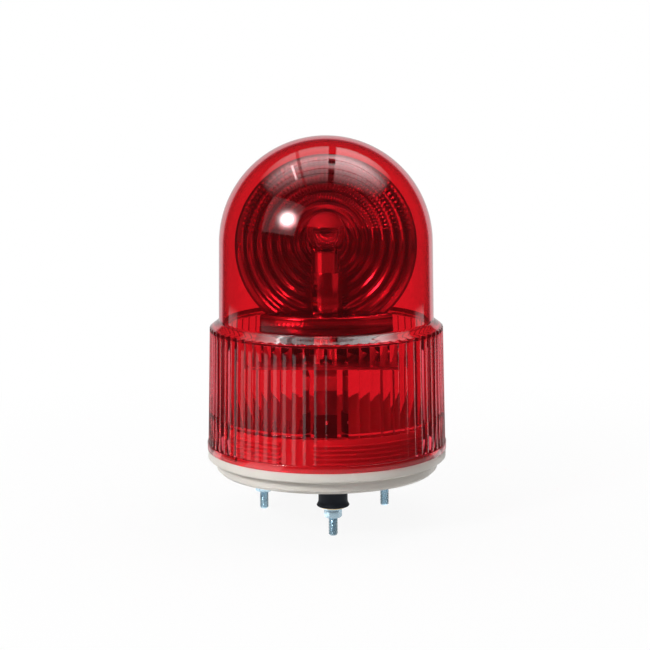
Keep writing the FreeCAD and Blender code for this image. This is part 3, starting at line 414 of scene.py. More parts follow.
# ---------------------------------------------------------------- modelling by hand
def deselect():
    if bpy.context.object and bpy.context.object.mode != "OBJECT":
        bpy.ops.object.mode_set(mode="OBJECT")
    bpy.ops.object.select_all(action="DESELECT")


def work_on(piece):
    deselect()
    piece.select_set(True)
    bpy.context.view_layer.objects.active = piece


def edit(piece):
    """Opens the piece for editing, with all of it selected."""
    work_on(piece)
    bpy.ops.object.mode_set(mode="EDIT")
    bpy.ops.mesh.select_all(action="SELECT")


def leave_edit():
    bpy.ops.object.mode_set(mode="OBJECT")


def select_verts(piece, test):
    """Selects, in edit mode, the vertices that pass the test."""
    mesh = bmesh.from_edit_mesh(piece.data)
    for vert in mesh.verts:
        vert.select = bool(test(vert))
    mesh.select_flush_mode()
    bmesh.update_edit_mesh(piece.data)


def ring_of(name, radius, z, steps):
    deselect()
    bpy.ops.mesh.primitive_circle_add(vertices=steps, radius=radius, location=(0, 0, z))
    piece = bpy.context.object
    piece.name = name
    bpy.ops.object.transform_apply(location=True, rotation=True, scale=True)
    return piece


def turned(name, outline, steps=96, closed=True):
    """Turns an outline of (radius, z) points about Z: a ring is extruded and sized from point to point."""
    last = outline[0]
    piece = ring_of(name, last[0], last[1], steps)
    edit(piece)
    for radius, z in outline[1:]:
        bpy.ops.mesh.extrude_region_move(TRANSFORM_OT_translate={"value": (0, 0, z - last[1])})
        ratio = radius / last[0]
        bpy.ops.transform.resize(value=(ratio, ratio, 1), center_override=(0, 0, z))
        last = (radius, z)
    if closed:
        mesh = bmesh.from_edit_mesh(piece.data)
        total = len(mesh.verts)
        ends = set(range(steps)) | set(range(total - steps, total))
        for vert in mesh.verts:
            vert.select = vert.index in ends
        for edge in mesh.edges:
            edge.select = all(vert.index in ends for vert in edge.verts)
        bmesh.update_edit_mesh(piece.data)
        bpy.ops.mesh.bridge_edge_loops()
    outward()
    return piece


def outward():
    """Turns all faces of the edited piece outwards and closes the edit."""
    bpy.ops.mesh.select_all(action="SELECT")
    bpy.ops.mesh.normals_make_consistent(inside=False)
    leave_edit()


def cap_poles(piece, *heights):
    """Fills the small rings left at these heights."""
    edit(piece)
    for z in heights:
        select_verts(piece, lambda v, z=z: abs(v.co.z - z) < NEAR)
        bpy.ops.mesh.edge_face_add()
    outward()


def smooth(piece, angle=35.0):
    work_on(piece)
    bpy.ops.object.shade_smooth_by_angle(angle=math.radians(angle))


def soften(piece, width):
    """Rounds the piece's sharp edges."""
    work_on(piece)
    bevel = piece.modifiers.new("edges", "BEVEL")
    bevel.width = width
    bevel.segments = 2
    bevel.limit_method = "ANGLE"
    bevel.angle_limit = math.radians(30.0)
    bpy.ops.object.modifier_apply(modifier=bevel.name)


def joined(name, pieces):
    deselect()
    for piece in pieces:
        piece.select_set(True)
    bpy.context.view_layer.objects.active = pieces[0]
    if len(pieces) > 1:
        bpy.ops.object.join()
    piece = bpy.context.object
    piece.name = name
    return piece


def copied(piece, matrix):
    """A copy with a mesh of its own, moved by the matrix."""
    other = piece.copy()
    other.data = piece.data.copy()
    other.data.transform(matrix)
    bpy.context.collection.objects.link(other)
    return other


def round_axis(piece, headings):
    """Copies of the piece, turned about Z to each heading, in its place."""
    copies = [copied(piece, Matrix.Rotation(math.radians(heading), 4, "Z")) for heading in headings]
    bpy.data.objects.remove(piece)
    return joined(copies[0].name, copies)


def settle(piece, name, body, slot, nodes=(), material=None):
    """Names the piece, gives it its slot's finish or its own, and hangs it on its body for its nodes."""
    piece.name = name
    piece.data.name = name
    piece.data.materials.clear()
    piece.data.materials.append(material or finish(slot))
    for face in piece.data.polygons:
        face.material_index = 0
    deselect()
    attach(piece, body)
    if nodes:
        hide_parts(*nodes)


def body_of_node(node):
    for body, nodes in frame["record"]["behaviour"]["bodies"].items():
        if node in nodes:
            return body
    raise RuntimeError("no body holds " + node)


def node_copy(node, name):
    """A copy of a node's mesh, open for editing, with its loose triangles merged."""
    piece = bpy.data.objects.new(name, frame["nodes"][node].data.copy())
    bpy.context.collection.objects.link(piece)
    work_on(piece)
    if piece.data.has_custom_normals:
        bpy.ops.mesh.customdata_custom_splitnormals_clear()
    edit(piece)
    bpy.ops.mesh.remove_doubles(threshold=2e-6)
    return piece


def softened_node(node, width, material=None):
    """A node's own shape, with its sharp edges rounded and its curved faces smooth."""
    slot = frame["nodes"][node].data.materials[0].name.split(".")[0]
    piece = node_copy(node, node + "_dressed")
    bpy.ops.mesh.dissolve_limited(angle_limit=math.radians(0.4), delimit=set())
    leave_edit()
    if width:
        soften(piece, width)
    smooth(piece)
    settle(piece, node + "_dressed", body_of_node(node), slot, (node,), material)


def arc(centre_r, centre_z, radius, start, end, count):
    """Points of an arc in the outline plane, from one angle to another, in degrees from +r towards +z."""
    angles = [math.radians(start + (end - start) * i / count) for i in range(count + 1)]
    return [(centre_r + radius * math.cos(a), centre_z + radius * math.sin(a)) for a in angles]


def line(first, last, count):
    """Points from first to last, without the last."""
    return [tuple(a + (b - a) * i / count for a, b in zip(first, last)) for i in range(count)]


# ---------------------------------------------------------------- globe
SKIRT_FOOT = 78.6 * MM
SKIRT_TOP = 76.7 * MM
DOME_FOOT = 70.6 * MM
DOME = 69.8 * MM
FLANGE_TOP = 33.1 * MM
FLANGE_ROUND = 0.5 * MM
FOOT_ROUND = 0.3 * MM
FOOT_BORE = 75.2 * MM
BORE_TOP = 50.6 * MM
BORE_STEP = ((74.9 * MM, 51.6 * MM), (74.2 * MM, 52.6 * MM))
ROOM_FOOT = (74.1 * MM, 56.0 * MM)
ROOM_GAP = 0.55 * MM         # what the reeds take off the wall, allowed for inside
ROOM_ROUND = 0.8 * MM
ROOM_FILLET = 1.0 * MM
ROOM_FILLET_RISE = 0.8 * MM
SHOULDER_TOP = 113.9 * MM
SHOULDER_EDGE = 109.3 * MM
SHOULDER_SLOPE = (SHOULDER_TOP - SHOULDER_EDGE) / (SKIRT_TOP - DOME_FOOT)
SHOULDER_INSET = 1.6 * MM    # from the skirt to where the cone's own rows start
EDGE_ROUND = 0.5 * MM
EDGE_TURN = 61.0             # degrees that the shoulder's edge is rounded through
EDGE_SINK = 0.588            # how far its centre lies under the edge, in radii
DOME_FILLET = 0.8 * MM
FILLET_RISE = 0.35 * MM      # from the shoulder's top to the centre of the dome's fillet
FILLET_TURN = (262.0, 181.0)
NECK_RISE = 1.2 * MM         # from the shoulder's top to where the dome's wall is straight
NECK_DRAFT = 0.02 * MM
LUG_HEADINGS = (-30.0, 90.0, 210.0)
LUG_RADIUS = 74.45 * MM
LUG_THICKNESS = 1.44 * MM
LUG_SPAN = 12.0              # degrees
LUG_Z = 30.8 * MM
LUG_HEIGHT = 2.4 * MM
COLUMNS_PER_REED = 10
REED_POWER = 2.2             # how round a reed is: 1 is a ridge, and more is flatter on the crest


def reed_dip(heading, sizes):
    """How far the skirt lies under a reed's crest at a heading, in metres."""
    pitch = 360.0 / sizes.reeds
    across = ((heading - sizes.reed_heading) / pitch + 0.5) % 1.0 * 2.0 - 1.0
    return sizes.reed_height * abs(across) ** REED_POWER


def shape_reeds(piece, sizes):
    """Presses the reeds into the skirt; at its top they run out on the shoulder's cone."""
    for vert in piece.data.vertices:
        x, y, z = vert.co
        radius = math.hypot(x, y)
        in_height = FLANGE_TOP - NEAR < z < SHOULDER_EDGE + EDGE_ROUND
        if not in_height or not SKIRT_TOP - EDGE_ROUND - NEAR < radius < SKIRT_FOOT + NEAR:
            continue
        dip = reed_dip(math.degrees(math.atan2(y, x)), sizes)
        share = (radius - dip) / radius
        vert.co = (x * share, y * share, z)
        if z > SHOULDER_EDGE - 0.6 * EDGE_ROUND:
            vert.co.z += SHOULDER_SLOPE * dip
    piece.data.update()


def globe_outline(wall):
    """The outer outline from the foot to the pole, and the inner one from the foot to the pole."""
    flange = GLOBE_HIGH.x
    foot = GLOBE_LOW.z
    centre = GLOBE_HIGH.z - DOME
    outer = [(FOOT_BORE, foot)]
    outer += arc(flange - FOOT_ROUND, foot + FOOT_ROUND, FOOT_ROUND, -90, 0, 3)
    outer += arc(flange - FLANGE_ROUND, FLANGE_TOP - FLANGE_ROUND, FLANGE_ROUND, 0, 90, 6)
    outer += line((SKIRT_FOOT, FLANGE_TOP), (SKIRT_TOP, SHOULDER_EDGE), 9)
    outer += arc(SKIRT_TOP - EDGE_ROUND, SHOULDER_EDGE - EDGE_SINK * EDGE_ROUND, EDGE_ROUND, 0, EDGE_TURN, 5)
    cone_foot = SKIRT_TOP - SHOULDER_INSET, SHOULDER_EDGE + SHOULDER_SLOPE * SHOULDER_INSET
    cone_top = DOME_FOOT + DOME_FILLET, SHOULDER_TOP - SHOULDER_SLOPE * DOME_FILLET
    outer += line(cone_foot, cone_top, 4)
    outer += arc(DOME_FOOT + DOME_FILLET, SHOULDER_TOP + FILLET_RISE, DOME_FILLET, *FILLET_TURN, 5)
    outer += line((DOME_FOOT - NECK_DRAFT, SHOULDER_TOP + NECK_RISE), (DOME, centre), 9)
    outer += arc(0, centre, DOME, 0, 90, 34)
    room, shoulder, top = DOME - wall, SHOULDER_EDGE - wall, SHOULDER_TOP - wall
    skirt, neck = SKIRT_TOP - wall, DOME_FOOT - wall
    inner = [(FOOT_BORE, foot + FOOT_ROUND), (FOOT_BORE, BORE_TOP), *BORE_STEP]
    inner += line(ROOM_FOOT, (skirt - ROOM_GAP, shoulder), 5)
    inner += arc(skirt - ROOM_GAP - ROOM_ROUND, shoulder, ROOM_ROUND, 0, 60, 4)
    inner += line((skirt - 2.0 * MM, shoulder + 1.2 * MM), (neck + ROOM_FILLET, top - 0.2 * MM), 3)
    inner += arc(neck + ROOM_FILLET, top + ROOM_FILLET_RISE, ROOM_FILLET, *FILLET_TURN, 5)
    inner += line((neck - NECK_DRAFT, top + ROOM_FILLET), (room, centre), 7)
    inner += arc(0, centre, room, 0, 90, 30)
    return outer, inner


def to_pole(outline):
    """The outline with its last point drawn in to the axis, but not onto it."""
    return outline[:-1] + [(POLE, outline[-1][1])]


def pole_closed(piece):
    """Draws the last ring, at the pole, together in one point."""
    edit(piece)
    bpy.ops.mesh.remove_doubles(threshold=NEAR)
    leave_edit()
    return piece


def build_globe():
    sizes = bpy.context.scene.beacon_globe
    steps = sizes.reeds * COLUMNS_PER_REED
    to_reeds = Matrix.Rotation(math.radians(sizes.reed_heading), 4, "Z")
    outer, inner = globe_outline(sizes.wall)
    skin = turned("globe_skin", to_pole(outer), steps, closed=False)
    skin.data.transform(to_reeds)
    shape_reeds(skin, sizes)
    room = turned("globe_room", to_pole(inner), steps, closed=False)
    room.data.transform(to_reeds)
    piece = joined("globe_lens", [pole_closed(skin), pole_closed(room)])
    edit(piece)
    foot = GLOBE_LOW.z + FOOT_ROUND + NEAR
    select_verts(piece, lambda v: v.co.z < foot and math.hypot(v.co.x, v.co.y) < FOOT_BORE + 0.1 * MM)
    bpy.ops.mesh.bridge_edge_loops()
    outward()
    smooth(piece, 22)
    settle(piece, "globe_lens", "globe", "globe_red", ("globe",))


def build_lugs():
    """The three lugs inside the globe's foot, that turn under the base's stops."""
    pieces = []
    for heading in LUG_HEADINGS:
        deselect()
        bpy.ops.mesh.primitive_cube_add(size=1.0)
        lug = bpy.context.object
        edit(lug)
        bpy.ops.mesh.subdivide(number_cuts=9)
        leave_edit()
        for vert in lug.data.vertices:
            across, along, up = vert.co
            radius = LUG_RADIUS + across * LUG_THICKNESS
            angle = math.radians(heading + along * LUG_SPAN)
            vert.co = (radius * math.cos(angle), radius * math.sin(angle), LUG_Z + up * LUG_HEIGHT)
        lug.data.update()
        pieces.append(lug)
    piece = joined("globe_lugs", pieces)
    edit(piece)
    outward()
    smooth(piece, 30)
    settle(piece, "globe_lugs", "globe", "globe_red")


# ---------------------------------------------------------------- mirror bowl
BOWL_HEADING = -94.5
BOWL_Z = 162.2 * MM
BOWL_FOCAL = 27.75 * MM
BOWL_VERTEX = 29.5 * MM
BOWL_RIM = 59.7 * MM
BOWL_MOUTH = 58.2 * MM
FOOT_TOP = 118.0 * MM
FOOT_LAP = 0.3 * MM          # of the bowl into its foot
RING_REST = 0.165            # share of a ring that is left over at the middle
FLUTE_START = 9.3 * MM
FLUTE_FREE = 1.6             # rings round the middle that have no flutes
FLUTE_SINK = 0.15 * MM


def bowl_height(x, y, sizes):
    """Height of the mirror over its vertex: a paraboloid with pillowed rings, fluted in its upper half."""
    radius = math.hypot(x, y)
    if radius >= BOWL_MOUTH - NEAR:
        return BOWL_MOUTH * BOWL_MOUTH / (4 * BOWL_FOCAL)
    pitch = BOWL_MOUTH / (sizes.rings + RING_REST)
    across = ((BOWL_MOUTH - radius) / pitch) % 1.0 * 2.0 - 1.0
    ring = 1.0 - across * across
    height = radius * radius / (4 * BOWL_FOCAL) + sizes.ring_bulge * ring
    if y > FLUTE_START and radius > FLUTE_FREE * pitch:
        turn = (math.degrees(math.atan2(y, x)) * sizes.flutes / 360.0) % 1.0 * 2.0 - 1.0
        flute = 1.0 - turn * turn
        height += sizes.flute_bulge * flute * min(1.0, ring * 2.0) - FLUTE_SINK
    return height


def bowl_matrix():
    """From the bowl's own frame, with its mouth up +Z, to its place on the rotor at rest."""
    stand = Matrix.Rotation(math.radians(90), 4, "X")
    turn = Matrix.Rotation(math.radians(BOWL_HEADING + 90.0), 4, "Z")
    back = Matrix.Translation((0, BOWL_VERTEX, BOWL_Z))
    return turn @ back @ stand


def build_bowl():
    sizes = bpy.context.scene.beacon_bowl
    steps = sizes.flutes * 4
    rows = sizes.rings * 6 + 1
    radii = [BOWL_MOUTH * (i + 1) / rows for i in range(rows)]
    piece = turned("mirror_bowl", [(r, 0) for r in radii] + [(BOWL_RIM, 0)], steps, closed=False)
    edit(piece)
    select_verts(piece, lambda v: math.hypot(v.co.x, v.co.y) < radii[0] * 1.01)
    bpy.ops.mesh.edge_face_add()
    bpy.ops.mesh.poke()
    leave_edit()
    for vert in piece.data.vertices:
        vert.co.z = bowl_height(vert.co.x, vert.co.y, sizes)
    piece.data.update()
    edit(piece)
    outward()
    up = sum(face.normal.z for face in piece.data.polygons)
    work_on(piece)
    wall = piece.modifiers.new("wall", "SOLIDIFY")
    wall.thickness = sizes.wall
    wall.offset = -1.0 if up > 0 else 1.0
    wall.use_even_offset = False
    bpy.ops.object.modifier_apply(modifier=wall.name)
    piece.data.transform(bowl_matrix())
    edit(piece)
    cut = {"plane_co": (0, 0, FOOT_TOP - FOOT_LAP), "plane_no": (0, 0, 1)}
    bpy.ops.mesh.bisect(clear_inner=True, use_fill=True, **cut)
    outward()
    smooth(piece, 28)
    settle(piece, "mirror_bowl", "rotor", "reflector_bright", ("reflector",))


def build_bowl_foot():
    """The hollow, boat-shaped foot under the bowl, from the construction's own outline."""
    piece = node_copy("reflector", "bowl_foot")
    cut = {"plane_co": (0, 0, FOOT_TOP - 0.01 * MM), "plane_no": (0, 0, 1)}
    bpy.ops.mesh.bisect(clear_outer=True, use_fill=True, **cut)
    outward()
    smooth(piece, 30)
    settle(piece, "bowl_foot", "rotor", "reflector_bright", ("reflector",))


# ---------------------------------------------------------------- lamp
LAMP_WALL = 0.6 * MM
LAMP_NECK = 6.9 * MM
LAMP_NECK_TOP = 157.0 * MM
LAMP_THROAT_END = 0.4 * MM   # from the foot of the glass to the end of its throat
LAMP_JOIN = -50.0            # where the neck leaves the ball, in degrees from level


def build_lamp_glass():
    """The 25 mm ball of the lamp, blown thin, with its throat down in the cap."""
    ball = (LAMP_HIGH.x - LAMP_LOW.x) / 2
    centre = LAMP_HIGH.z - ball
    bottom = LAMP_LOW.z + LAMP_THROAT_END
    pieces = []
    for inset in (0.0, LAMP_WALL):
        throat = LAMP_NECK - inset
        shell = arc(0, centre, ball - inset, LAMP_JOIN, 90, 36)
        rows = line((throat, bottom), (throat, LAMP_NECK_TOP), 3)
        rows += line((throat, LAMP_NECK_TOP), shell[0], 6)
        pieces.append(pole_closed(turned("lamp_skin", to_pole(rows + shell), closed=False)))
    piece = joined("lamp_ball", pieces)
    edit(piece)
    select_verts(piece, lambda v: v.co.z < bottom + NEAR)
    bpy.ops.mesh.bridge_edge_loops()
    outward()
    smooth(piece, 30)
    settle(piece, "lamp_ball", "stand", "lamp_glass", ("lamp_glass",))


# ---------------------------------------------------------------- fasteners
THREAD_CREST = 2.98 * MM
THREAD_ROOT = 2.45 * MM
THREAD_PITCH = 1.0 * MM
THREAD_FLAT = 0.12           # share of half a pitch that stays on the crest
THREAD_FLANK = 0.72          # share of half a pitch that the flank takes
THREAD_ROWS = 118
THREAD_GAP = 0.05 * MM       # between the thread's end and the nut
TIP_RADIUS = 2.1 * MM
TIP_SLOPE = 0.9
SHANK = 2.67 * MM
HEAD = 5.0 * MM
HEAD_HEIGHT = 4.0 * MM
HEAD_EDGE = 0.4 * MM


def build_studs():
    """Three M6 studs: a rolled thread on the free end, the shank above it in the bush and the base."""
    low, start, top = STUD_LOW.z, NUT_LOW.z - THREAD_GAP, STUD_HIGH.z
    outline = [(THREAD_CREST, low + (start - low) * i / THREAD_ROWS) for i in range(THREAD_ROWS + 1)]
    outline += [(SHANK, start), (SHANK, top - HEAD_HEIGHT), (HEAD, top - HEAD_HEIGHT)]
    outline += [(HEAD, top - HEAD_EDGE), (HEAD - HEAD_EDGE, top)]
    piece = turned("mounting_stud", outline, 40, closed=False)
    for vert in piece.data.vertices:
        x, y, z = vert.co
        if z > start - NEAR or math.hypot(x, y) < THREAD_CREST - NEAR:
            continue
        turn = (z / THREAD_PITCH - math.atan2(y, x) / math.tau) % 1.0
        depth = abs(turn * 2.0 - 1.0)
        groove = max(0.0, min(1.0, (depth - THREAD_FLAT) / THREAD_FLANK))
        radius = THREAD_CREST - (THREAD_CREST - THREAD_ROOT) * groove
        radius = min(radius, TIP_RADIUS + (z - low) * TIP_SLOPE)
        vert.co.x, vert.co.y = x * radius / THREAD_CREST, y * radius / THREAD_CREST
    piece.data.update()
    cap_poles(piece, low, top)
    smooth(piece, 50)
    piece.data.transform(Matrix.Translation((STUD_CIRCLE, 0, 0)))
    piece = round_axis(piece, STUD_HEADINGS)
    settle(piece, "threaded_studs", "stand", "zinc_plate", ("mounting_studs",))


BUSH_BODY = 9.4 * MM
BUSH_BORE = 2.9 * MM
BUSH_LIP = 10.5 * MM
LIP_ROUND = 0.7 * MM
BUSH_ROUND = 0.5 * MM
WASHER_RECESS = (8.2 * MM, 0.2 * MM)   # radius and depth
LIP_FLANK = ((0.35 * MM, 2.3 * MM), (0.05 * MM, 3.2 * MM))   # out from the body, and up from the foot


def build_bushes():
    """Rubber bushes between the base and the panel, each with a soft lip round its foot."""
    top, low = BUSH_HIGH.z, BUSH_LOW.z
    recess, depth = WASHER_RECESS
    outline = [(BUSH_BORE, low + depth), (recess, low + depth), (recess + 0.1 * MM, low)]
    outline += arc(BUSH_LIP - LIP_ROUND, low + LIP_ROUND, LIP_ROUND, -90, 60, 6)
    outline += [(BUSH_BODY + out, low + up) for out, up in LIP_FLANK]
    outline += line((BUSH_BODY, low + 4.2 * MM), (BUSH_BODY - 0.05 * MM, top - 0.6 * MM), 4)
    outline += arc(BUSH_BODY - BUSH_ROUND, top - BUSH_ROUND, BUSH_ROUND, 0, 90, 4)
    outline += [(BUSH_BORE, top)]
    piece = turned("rubber_bush", outline)
    smooth(piece, 40)
    piece.data.transform(Matrix.Translation((STUD_CIRCLE, 0, 0)))
    piece = round_axis(piece, STUD_HEADINGS)
    settle(piece, "bushes_moulded", "stand", "rubber_black", ("rubber_bushes",))


# ---------------------------------------------------------------- stage
# The softbox: where its bulb shows on its face, in shares of its sides, and how bright it is there.
BULB_SPOT = (0.685, 0.46)
BULB_CORE, BULB_HALO, CLOTH = 60.0, 1.2, 0.24

# The ceiling, in shares of its sides: across from left to right, and back from the camera's side.
CEILING_GAP = 0.533
CEILING_BRIDGES = ((0.39, 0.7), (0.535, 0.8))            # where the gap is bridged, and how brightly
CEILING_BARS = ((0.476, 0.006), (0.360, 0.007), (0.300, 0.004))   # place and half width
CEILING_POST = 0.362
CEILING_SLOT = (0.318, 0.40)
PANEL_SHARES = (0.85, 1.35)  # how bright the left and the right panel are
CEILING_GLOW, SLOT_GLOW = 1.35, 2.5
INSIDE_SHADE = 0.35          # what the ceiling loses on its way into the globe

# The backdrop as the object's polish shows it, over the paper and on it: where it ends, as the cosine of
# the turn from straight back.
BACKDROP_EDGE = (0.79, 0.83)
PAPER_EDGE = (0.78, 0.83)
SIDE_CARDS = ((0.93, 0.65), (-0.93, 0.30))               # to the right, to the left, and their strength
# On the paper: the way to each card, the cosine of how wide it is, and its strength.
PAPER_CARDS = ((-0.80, -0.60, 0.955, 1.3), (0.91, 0.42, 0.987, 1.0), (-0.91, 0.42, 0.987, 0.8))

# A ray that has passed more faces than this is in the globe, or has been in it and left it again.
IN_GLOBE, THROUGH_GLOBE = 1.5, 3.0

CAMERA_PLACE = (-0.09165, -1.16450, 0.3001)
CAMERA_TILT = 80.735         # degrees up from straight down
CAMERA_ROLL = -0.3           # degrees
LENS = 99.58                 # focal length in millimetres on a sensor 36 mm wide


def viewed(*place):
    """A place given in the frame that the camera faces along +Y, in the frame of the construction."""
    return Matrix.Rotation(math.radians(VIEW_HEADING), 3, "Z") @ Vector(place)


def add_lamp(name, place, target, size, power, glow):
    """An area lamp at a place that faces its target, with its strength spread over its face by glow."""
    place, target = viewed(*place), viewed(*target)
    look = (target - place).to_track_quat("-Z", "Y").to_matrix().to_4x4()
    if place.xy == target.xy:
        look = Matrix.Rotation(math.radians(VIEW_HEADING), 4, "Z")
    data = bpy.data.lights.new(name, "AREA")
    data.shape = "RECTANGLE"
    data.size, data.size_y = size
    data.energy = power
    lamp = bpy.data.objects.new(name, data)
    lamp.matrix_world = Matrix.Translation(place) @ look
    lamp.visible_camera = False
    bpy.context.collection.objects.link(lamp)
    data.use_nodes = True
    f = Finish(name, data.node_tree)
    across, up, _ = f.split(f.node("ShaderNodeNewGeometry", output="Parametric"))
    f.surface(f.glowing(glow(f, across, up)), "ShaderNodeOutputLight")


def softbox_glow(f, across, up):
    """A softbox with its bulb showing through: bright in one spot, falling off to the edges."""
    away = ((across - BULB_SPOT[0]) ** 2.0 + (up - BULB_SPOT[1]) ** 2.0) ** 0.5
    core = f.span(away, 0.02, 0.44, 1.0, 0.0)
    halo = f.span(away, 0.05, 0.60, 1.0, 0.0)
    return CLOTH + core ** 4.0 * BULB_CORE + halo ** 2.0 * BULB_HALO


def ceiling_glow(f, across, back):
    """Two long ceiling panels: a dark gap between them, bars, a post, and a bright slot in the left one."""
    near = f.span(back, 0.16, 0.47) ** 1.3
    far = f.span(back, 0.50, 0.60, 1.0, 0.30) * f.span(back, 0.74, 0.79, 1.0, 0.0)
    ends = f.span((across - 0.50).size(), 0.20, 0.47, 1.0, 0.0)
    panels = f.span(across, 0.50, 0.56, *PANEL_SHARES)
    gap = f.span((across - CEILING_GAP).size(), 0.014, 0.022)
    for place, strength in CEILING_BRIDGES:
        gap = gap + f.span((back - place).size(), 0.025, 0.045, strength, 0.0)
    bars = f.span((across - CEILING_POST).size(), 0.006, 0.012, 0.3, 1.0)
    for place, half in CEILING_BARS:
        bars = bars * f.span((back - place).size(), half * 0.5, half, 0.25, 1.0)
    slot = f.span((across - CEILING_SLOT[0]).size(), 0.004, 0.010, SLOT_GLOW, 0.0)
    slot = slot * f.span((back - CEILING_SLOT[1]).size(), 0.09, 0.12, 1.0, 0.0)
    light = gap.clamped() * bars * near * far * ends * panels * CEILING_GLOW + slot
    inside = f.ray("Transmission Depth") > IN_GLOBE
    return light * (1.0 - inside * INSIDE_SHADE)


def seen_straight(f):
    """One where the camera looks at a place, or through clear pieces at it with no mirror on the way."""
    bounced = (f.ray("Glossy Depth") + f.ray("Diffuse Depth")).clamped()
    return (f.ray("Is Camera Ray") + f.ray("Is Transmission Ray") * (1.0 - bounced)).clamped()


def build_world():
    """White where it is seen straight; dim in the polish but for the backdrop, with cards for the mirror."""
    world = bpy.data.worlds.new("studio")
    bpy.context.scene.world = world
    world.use_nodes = True
    f = Finish("studio", world.node_tree)
    way = f.node("ShaderNodeTexCoord", output="Generated")
    steep = f.vector("NORMALIZE", f.vector("MULTIPLY", way, (1.0, 1.0, 1.5)))
    backdrop = f.span(f.facing(steep, viewed(0, 1, 0)), *BACKDROP_EDGE, 0.035, 0.70)
    cards = 0.06
    for side, strength in SIDE_CARDS:
        cards = f.span(f.facing(way, viewed(side, -0.30, 0.20)), 0.86, 0.93, 0.0, strength) + cards
    polished = backdrop + (f.ray("Transmission Depth") > THROUGH_GLOBE) * cards
    diffuse = f.ray("Diffuse Depth").clamped()
    rest = polished * (1.0 - diffuse) + diffuse * 0.34
    seen = seen_straight(f)
    f.surface(f.glowing(rest * (1.0 - seen) + seen, "ShaderNodeBackground"), "ShaderNodeOutputWorld")


def mirrored_paper(f):
    """How bright the paper looks in the object's own polish: lit behind it and close round it, and in
    three patches; in the mirror inside the globe, also in front of it."""
    away = f.length(f.place())
    way = f.vector("NORMALIZE", f.place())
    behind = f.facing(way, viewed(0, 1, 0))
    cards = 0.0
    for x, y, width, strength in PAPER_CARDS:
        cards = f.span(f.facing(way, viewed(x, y, 0)), width, width + 0.006, 0.0, strength) + cards
    cards = f.span(away, 1.02, 1.12, 1.0, 0.0) * cards
    close = f.span(away, 0.24, 0.31, 0.80, 0.0)
    front = f.span(away, 0.6, 1.6, 0.40, 0.0) * (f.ray("Transmission Depth") > THROUGH_GLOBE)
    return f.span(behind, *PAPER_EDGE, 0.03, 0.72) + (cards + close + front) * (behind < PAPER_EDGE[0])


def build_floor():
    """Pale paper under the studs: white where it is seen, grey where it lights the object."""
    deselect()
    bpy.ops.mesh.primitive_circle_add(
        vertices=96, radius=4.0, fill_type="NGON", location=(0, 0, CAD_BOX[0].z))
    floor = bpy.context.object
    floor.name = "studio_floor"
    f = Finish("pale_floor")
    lit = f.node("ShaderNodeBsdfDiffuse", inputs={"Color": rgba((0.55, 0.55, 0.55))})
    unseen = f.blend(f.ray("Glossy Depth").clamped(), lit, f.glowing(mirrored_paper(f)))
    paper = f.span(f.length(f.place()), 0.12, 0.5, 0.92, 1.0)
    white = f.glowing(rgba((1.0, 1.0, 1.0)))
    floor.data.materials.append(f.surface(f.blend(seen_straight(f) * paper, unseen, white)))


def build_lamps():
    """A softbox in front, at the left, and a ceiling over the whole; power in watts."""
    add_lamp("key_softbox", (-0.98, -0.73, 0.84), (0, 0, 0.18), (1.00, 0.82), 5.2, softbox_glow)
    add_lamp("ceiling_panels", (0, 0.25, 1.14), (0, 0.25, 0), (2.4, 1.9), 57.0, ceiling_glow)


def build_camera():
    """A long lens in front of the object and a little above it, looking slightly down."""
    data = bpy.data.cameras.new("view")
    data.sensor_width = 36.0
    data.lens = LENS
    data.shift_x = -0.002
    data.clip_end = 50.0
    camera = bpy.data.objects.new("view", data)
    turn = Euler((math.radians(CAMERA_TILT), 0.0, math.radians(VIEW_HEADING))).to_matrix()
    roll = Matrix.Rotation(math.radians(CAMERA_ROLL), 3, "Z")
    camera.matrix_world = Matrix.Translation(CAMERA_PLACE) @ (turn @ roll).to_4x4()
    bpy.context.collection.objects.link(camera)
    bpy.context.scene.camera = camera


# ---------------------------------------------------------------- softened construction pieces
# How wide the edges of a piece are rounded, in millimetres, where it isn't a tenth of a millimetre.
SOFT_EDGE = 0.1
SOFT_EDGES = {
    "base": 0.35, "chassis_bridge": 0.25, "gearbox_housing": 0.35, "motor_can": 0.15, "motor_end_cap": 0.25,
    "terminal_block": 0.3, "turntable": 0.2, "hex_nuts": 0.18, "plain_washers": 0.12, "spring_washers": 0.12,
    "post_nut": 0.2, "bridge_screws": 0.12, "motor_tags": 0.08, "turntable_bush": 0.15, "drive_pinion": 0.08,
    "pinion_shaft": 0.12, "cable_grommet": 0.25, "globe_seal": 0.15, "lamp_stem": 0.0, "lamp_button": 0.0,
    "lamp_filament": 0.0, "contact_spring": 0.0,
}
OWN_FINISHES = {"lamp_stem": "stem_glass", "end_cap_screw": "painted_screw"}


def soften_nodes(*nodes):
    for node in nodes:
        own = OWN_FINISHES.get(node)
        width = SOFT_EDGES.get(node, SOFT_EDGE) * MM
        softened_node(node, width, finish(own) if own else None)


# ---------------------------------------------------------------- operators
class BEACON_OT_globe(bpy.types.Operator):
    """Models the see-through globe with its reeds and lugs"""
    bl_idname = "beacon.globe"
    bl_label = "Globe"

    def execute(self, context):
        build_globe()
        build_lugs()
        return {"FINISHED"}


class BEACON_OT_bowl(bpy.types.Operator):
    """Models the mirror bowl and its foot"""
    bl_idname = "beacon.bowl"
    bl_label = "Mirror bowl"

    def execute(self, context):
        build_bowl()
        build_bowl_foot()
        soften_nodes("reflector_screws")
        return {"FINISHED"}


class BEACON_OT_lamp(bpy.types.Operator):
    """Models the lamp, its cap and the socket that holds it"""
    bl_idname = "beacon.lamp"
    bl_label = "Lamp and socket"

    def execute(self, context):
        build_lamp_glass()
        soften_nodes(
            "lamp_cap", "lamp_button", "lamp_stem", "lamp_filament", "lamp_socket", "socket_insulator",
            "contact_pin", "contact_spring", "spring_seat")
        return {"FINISHED"}


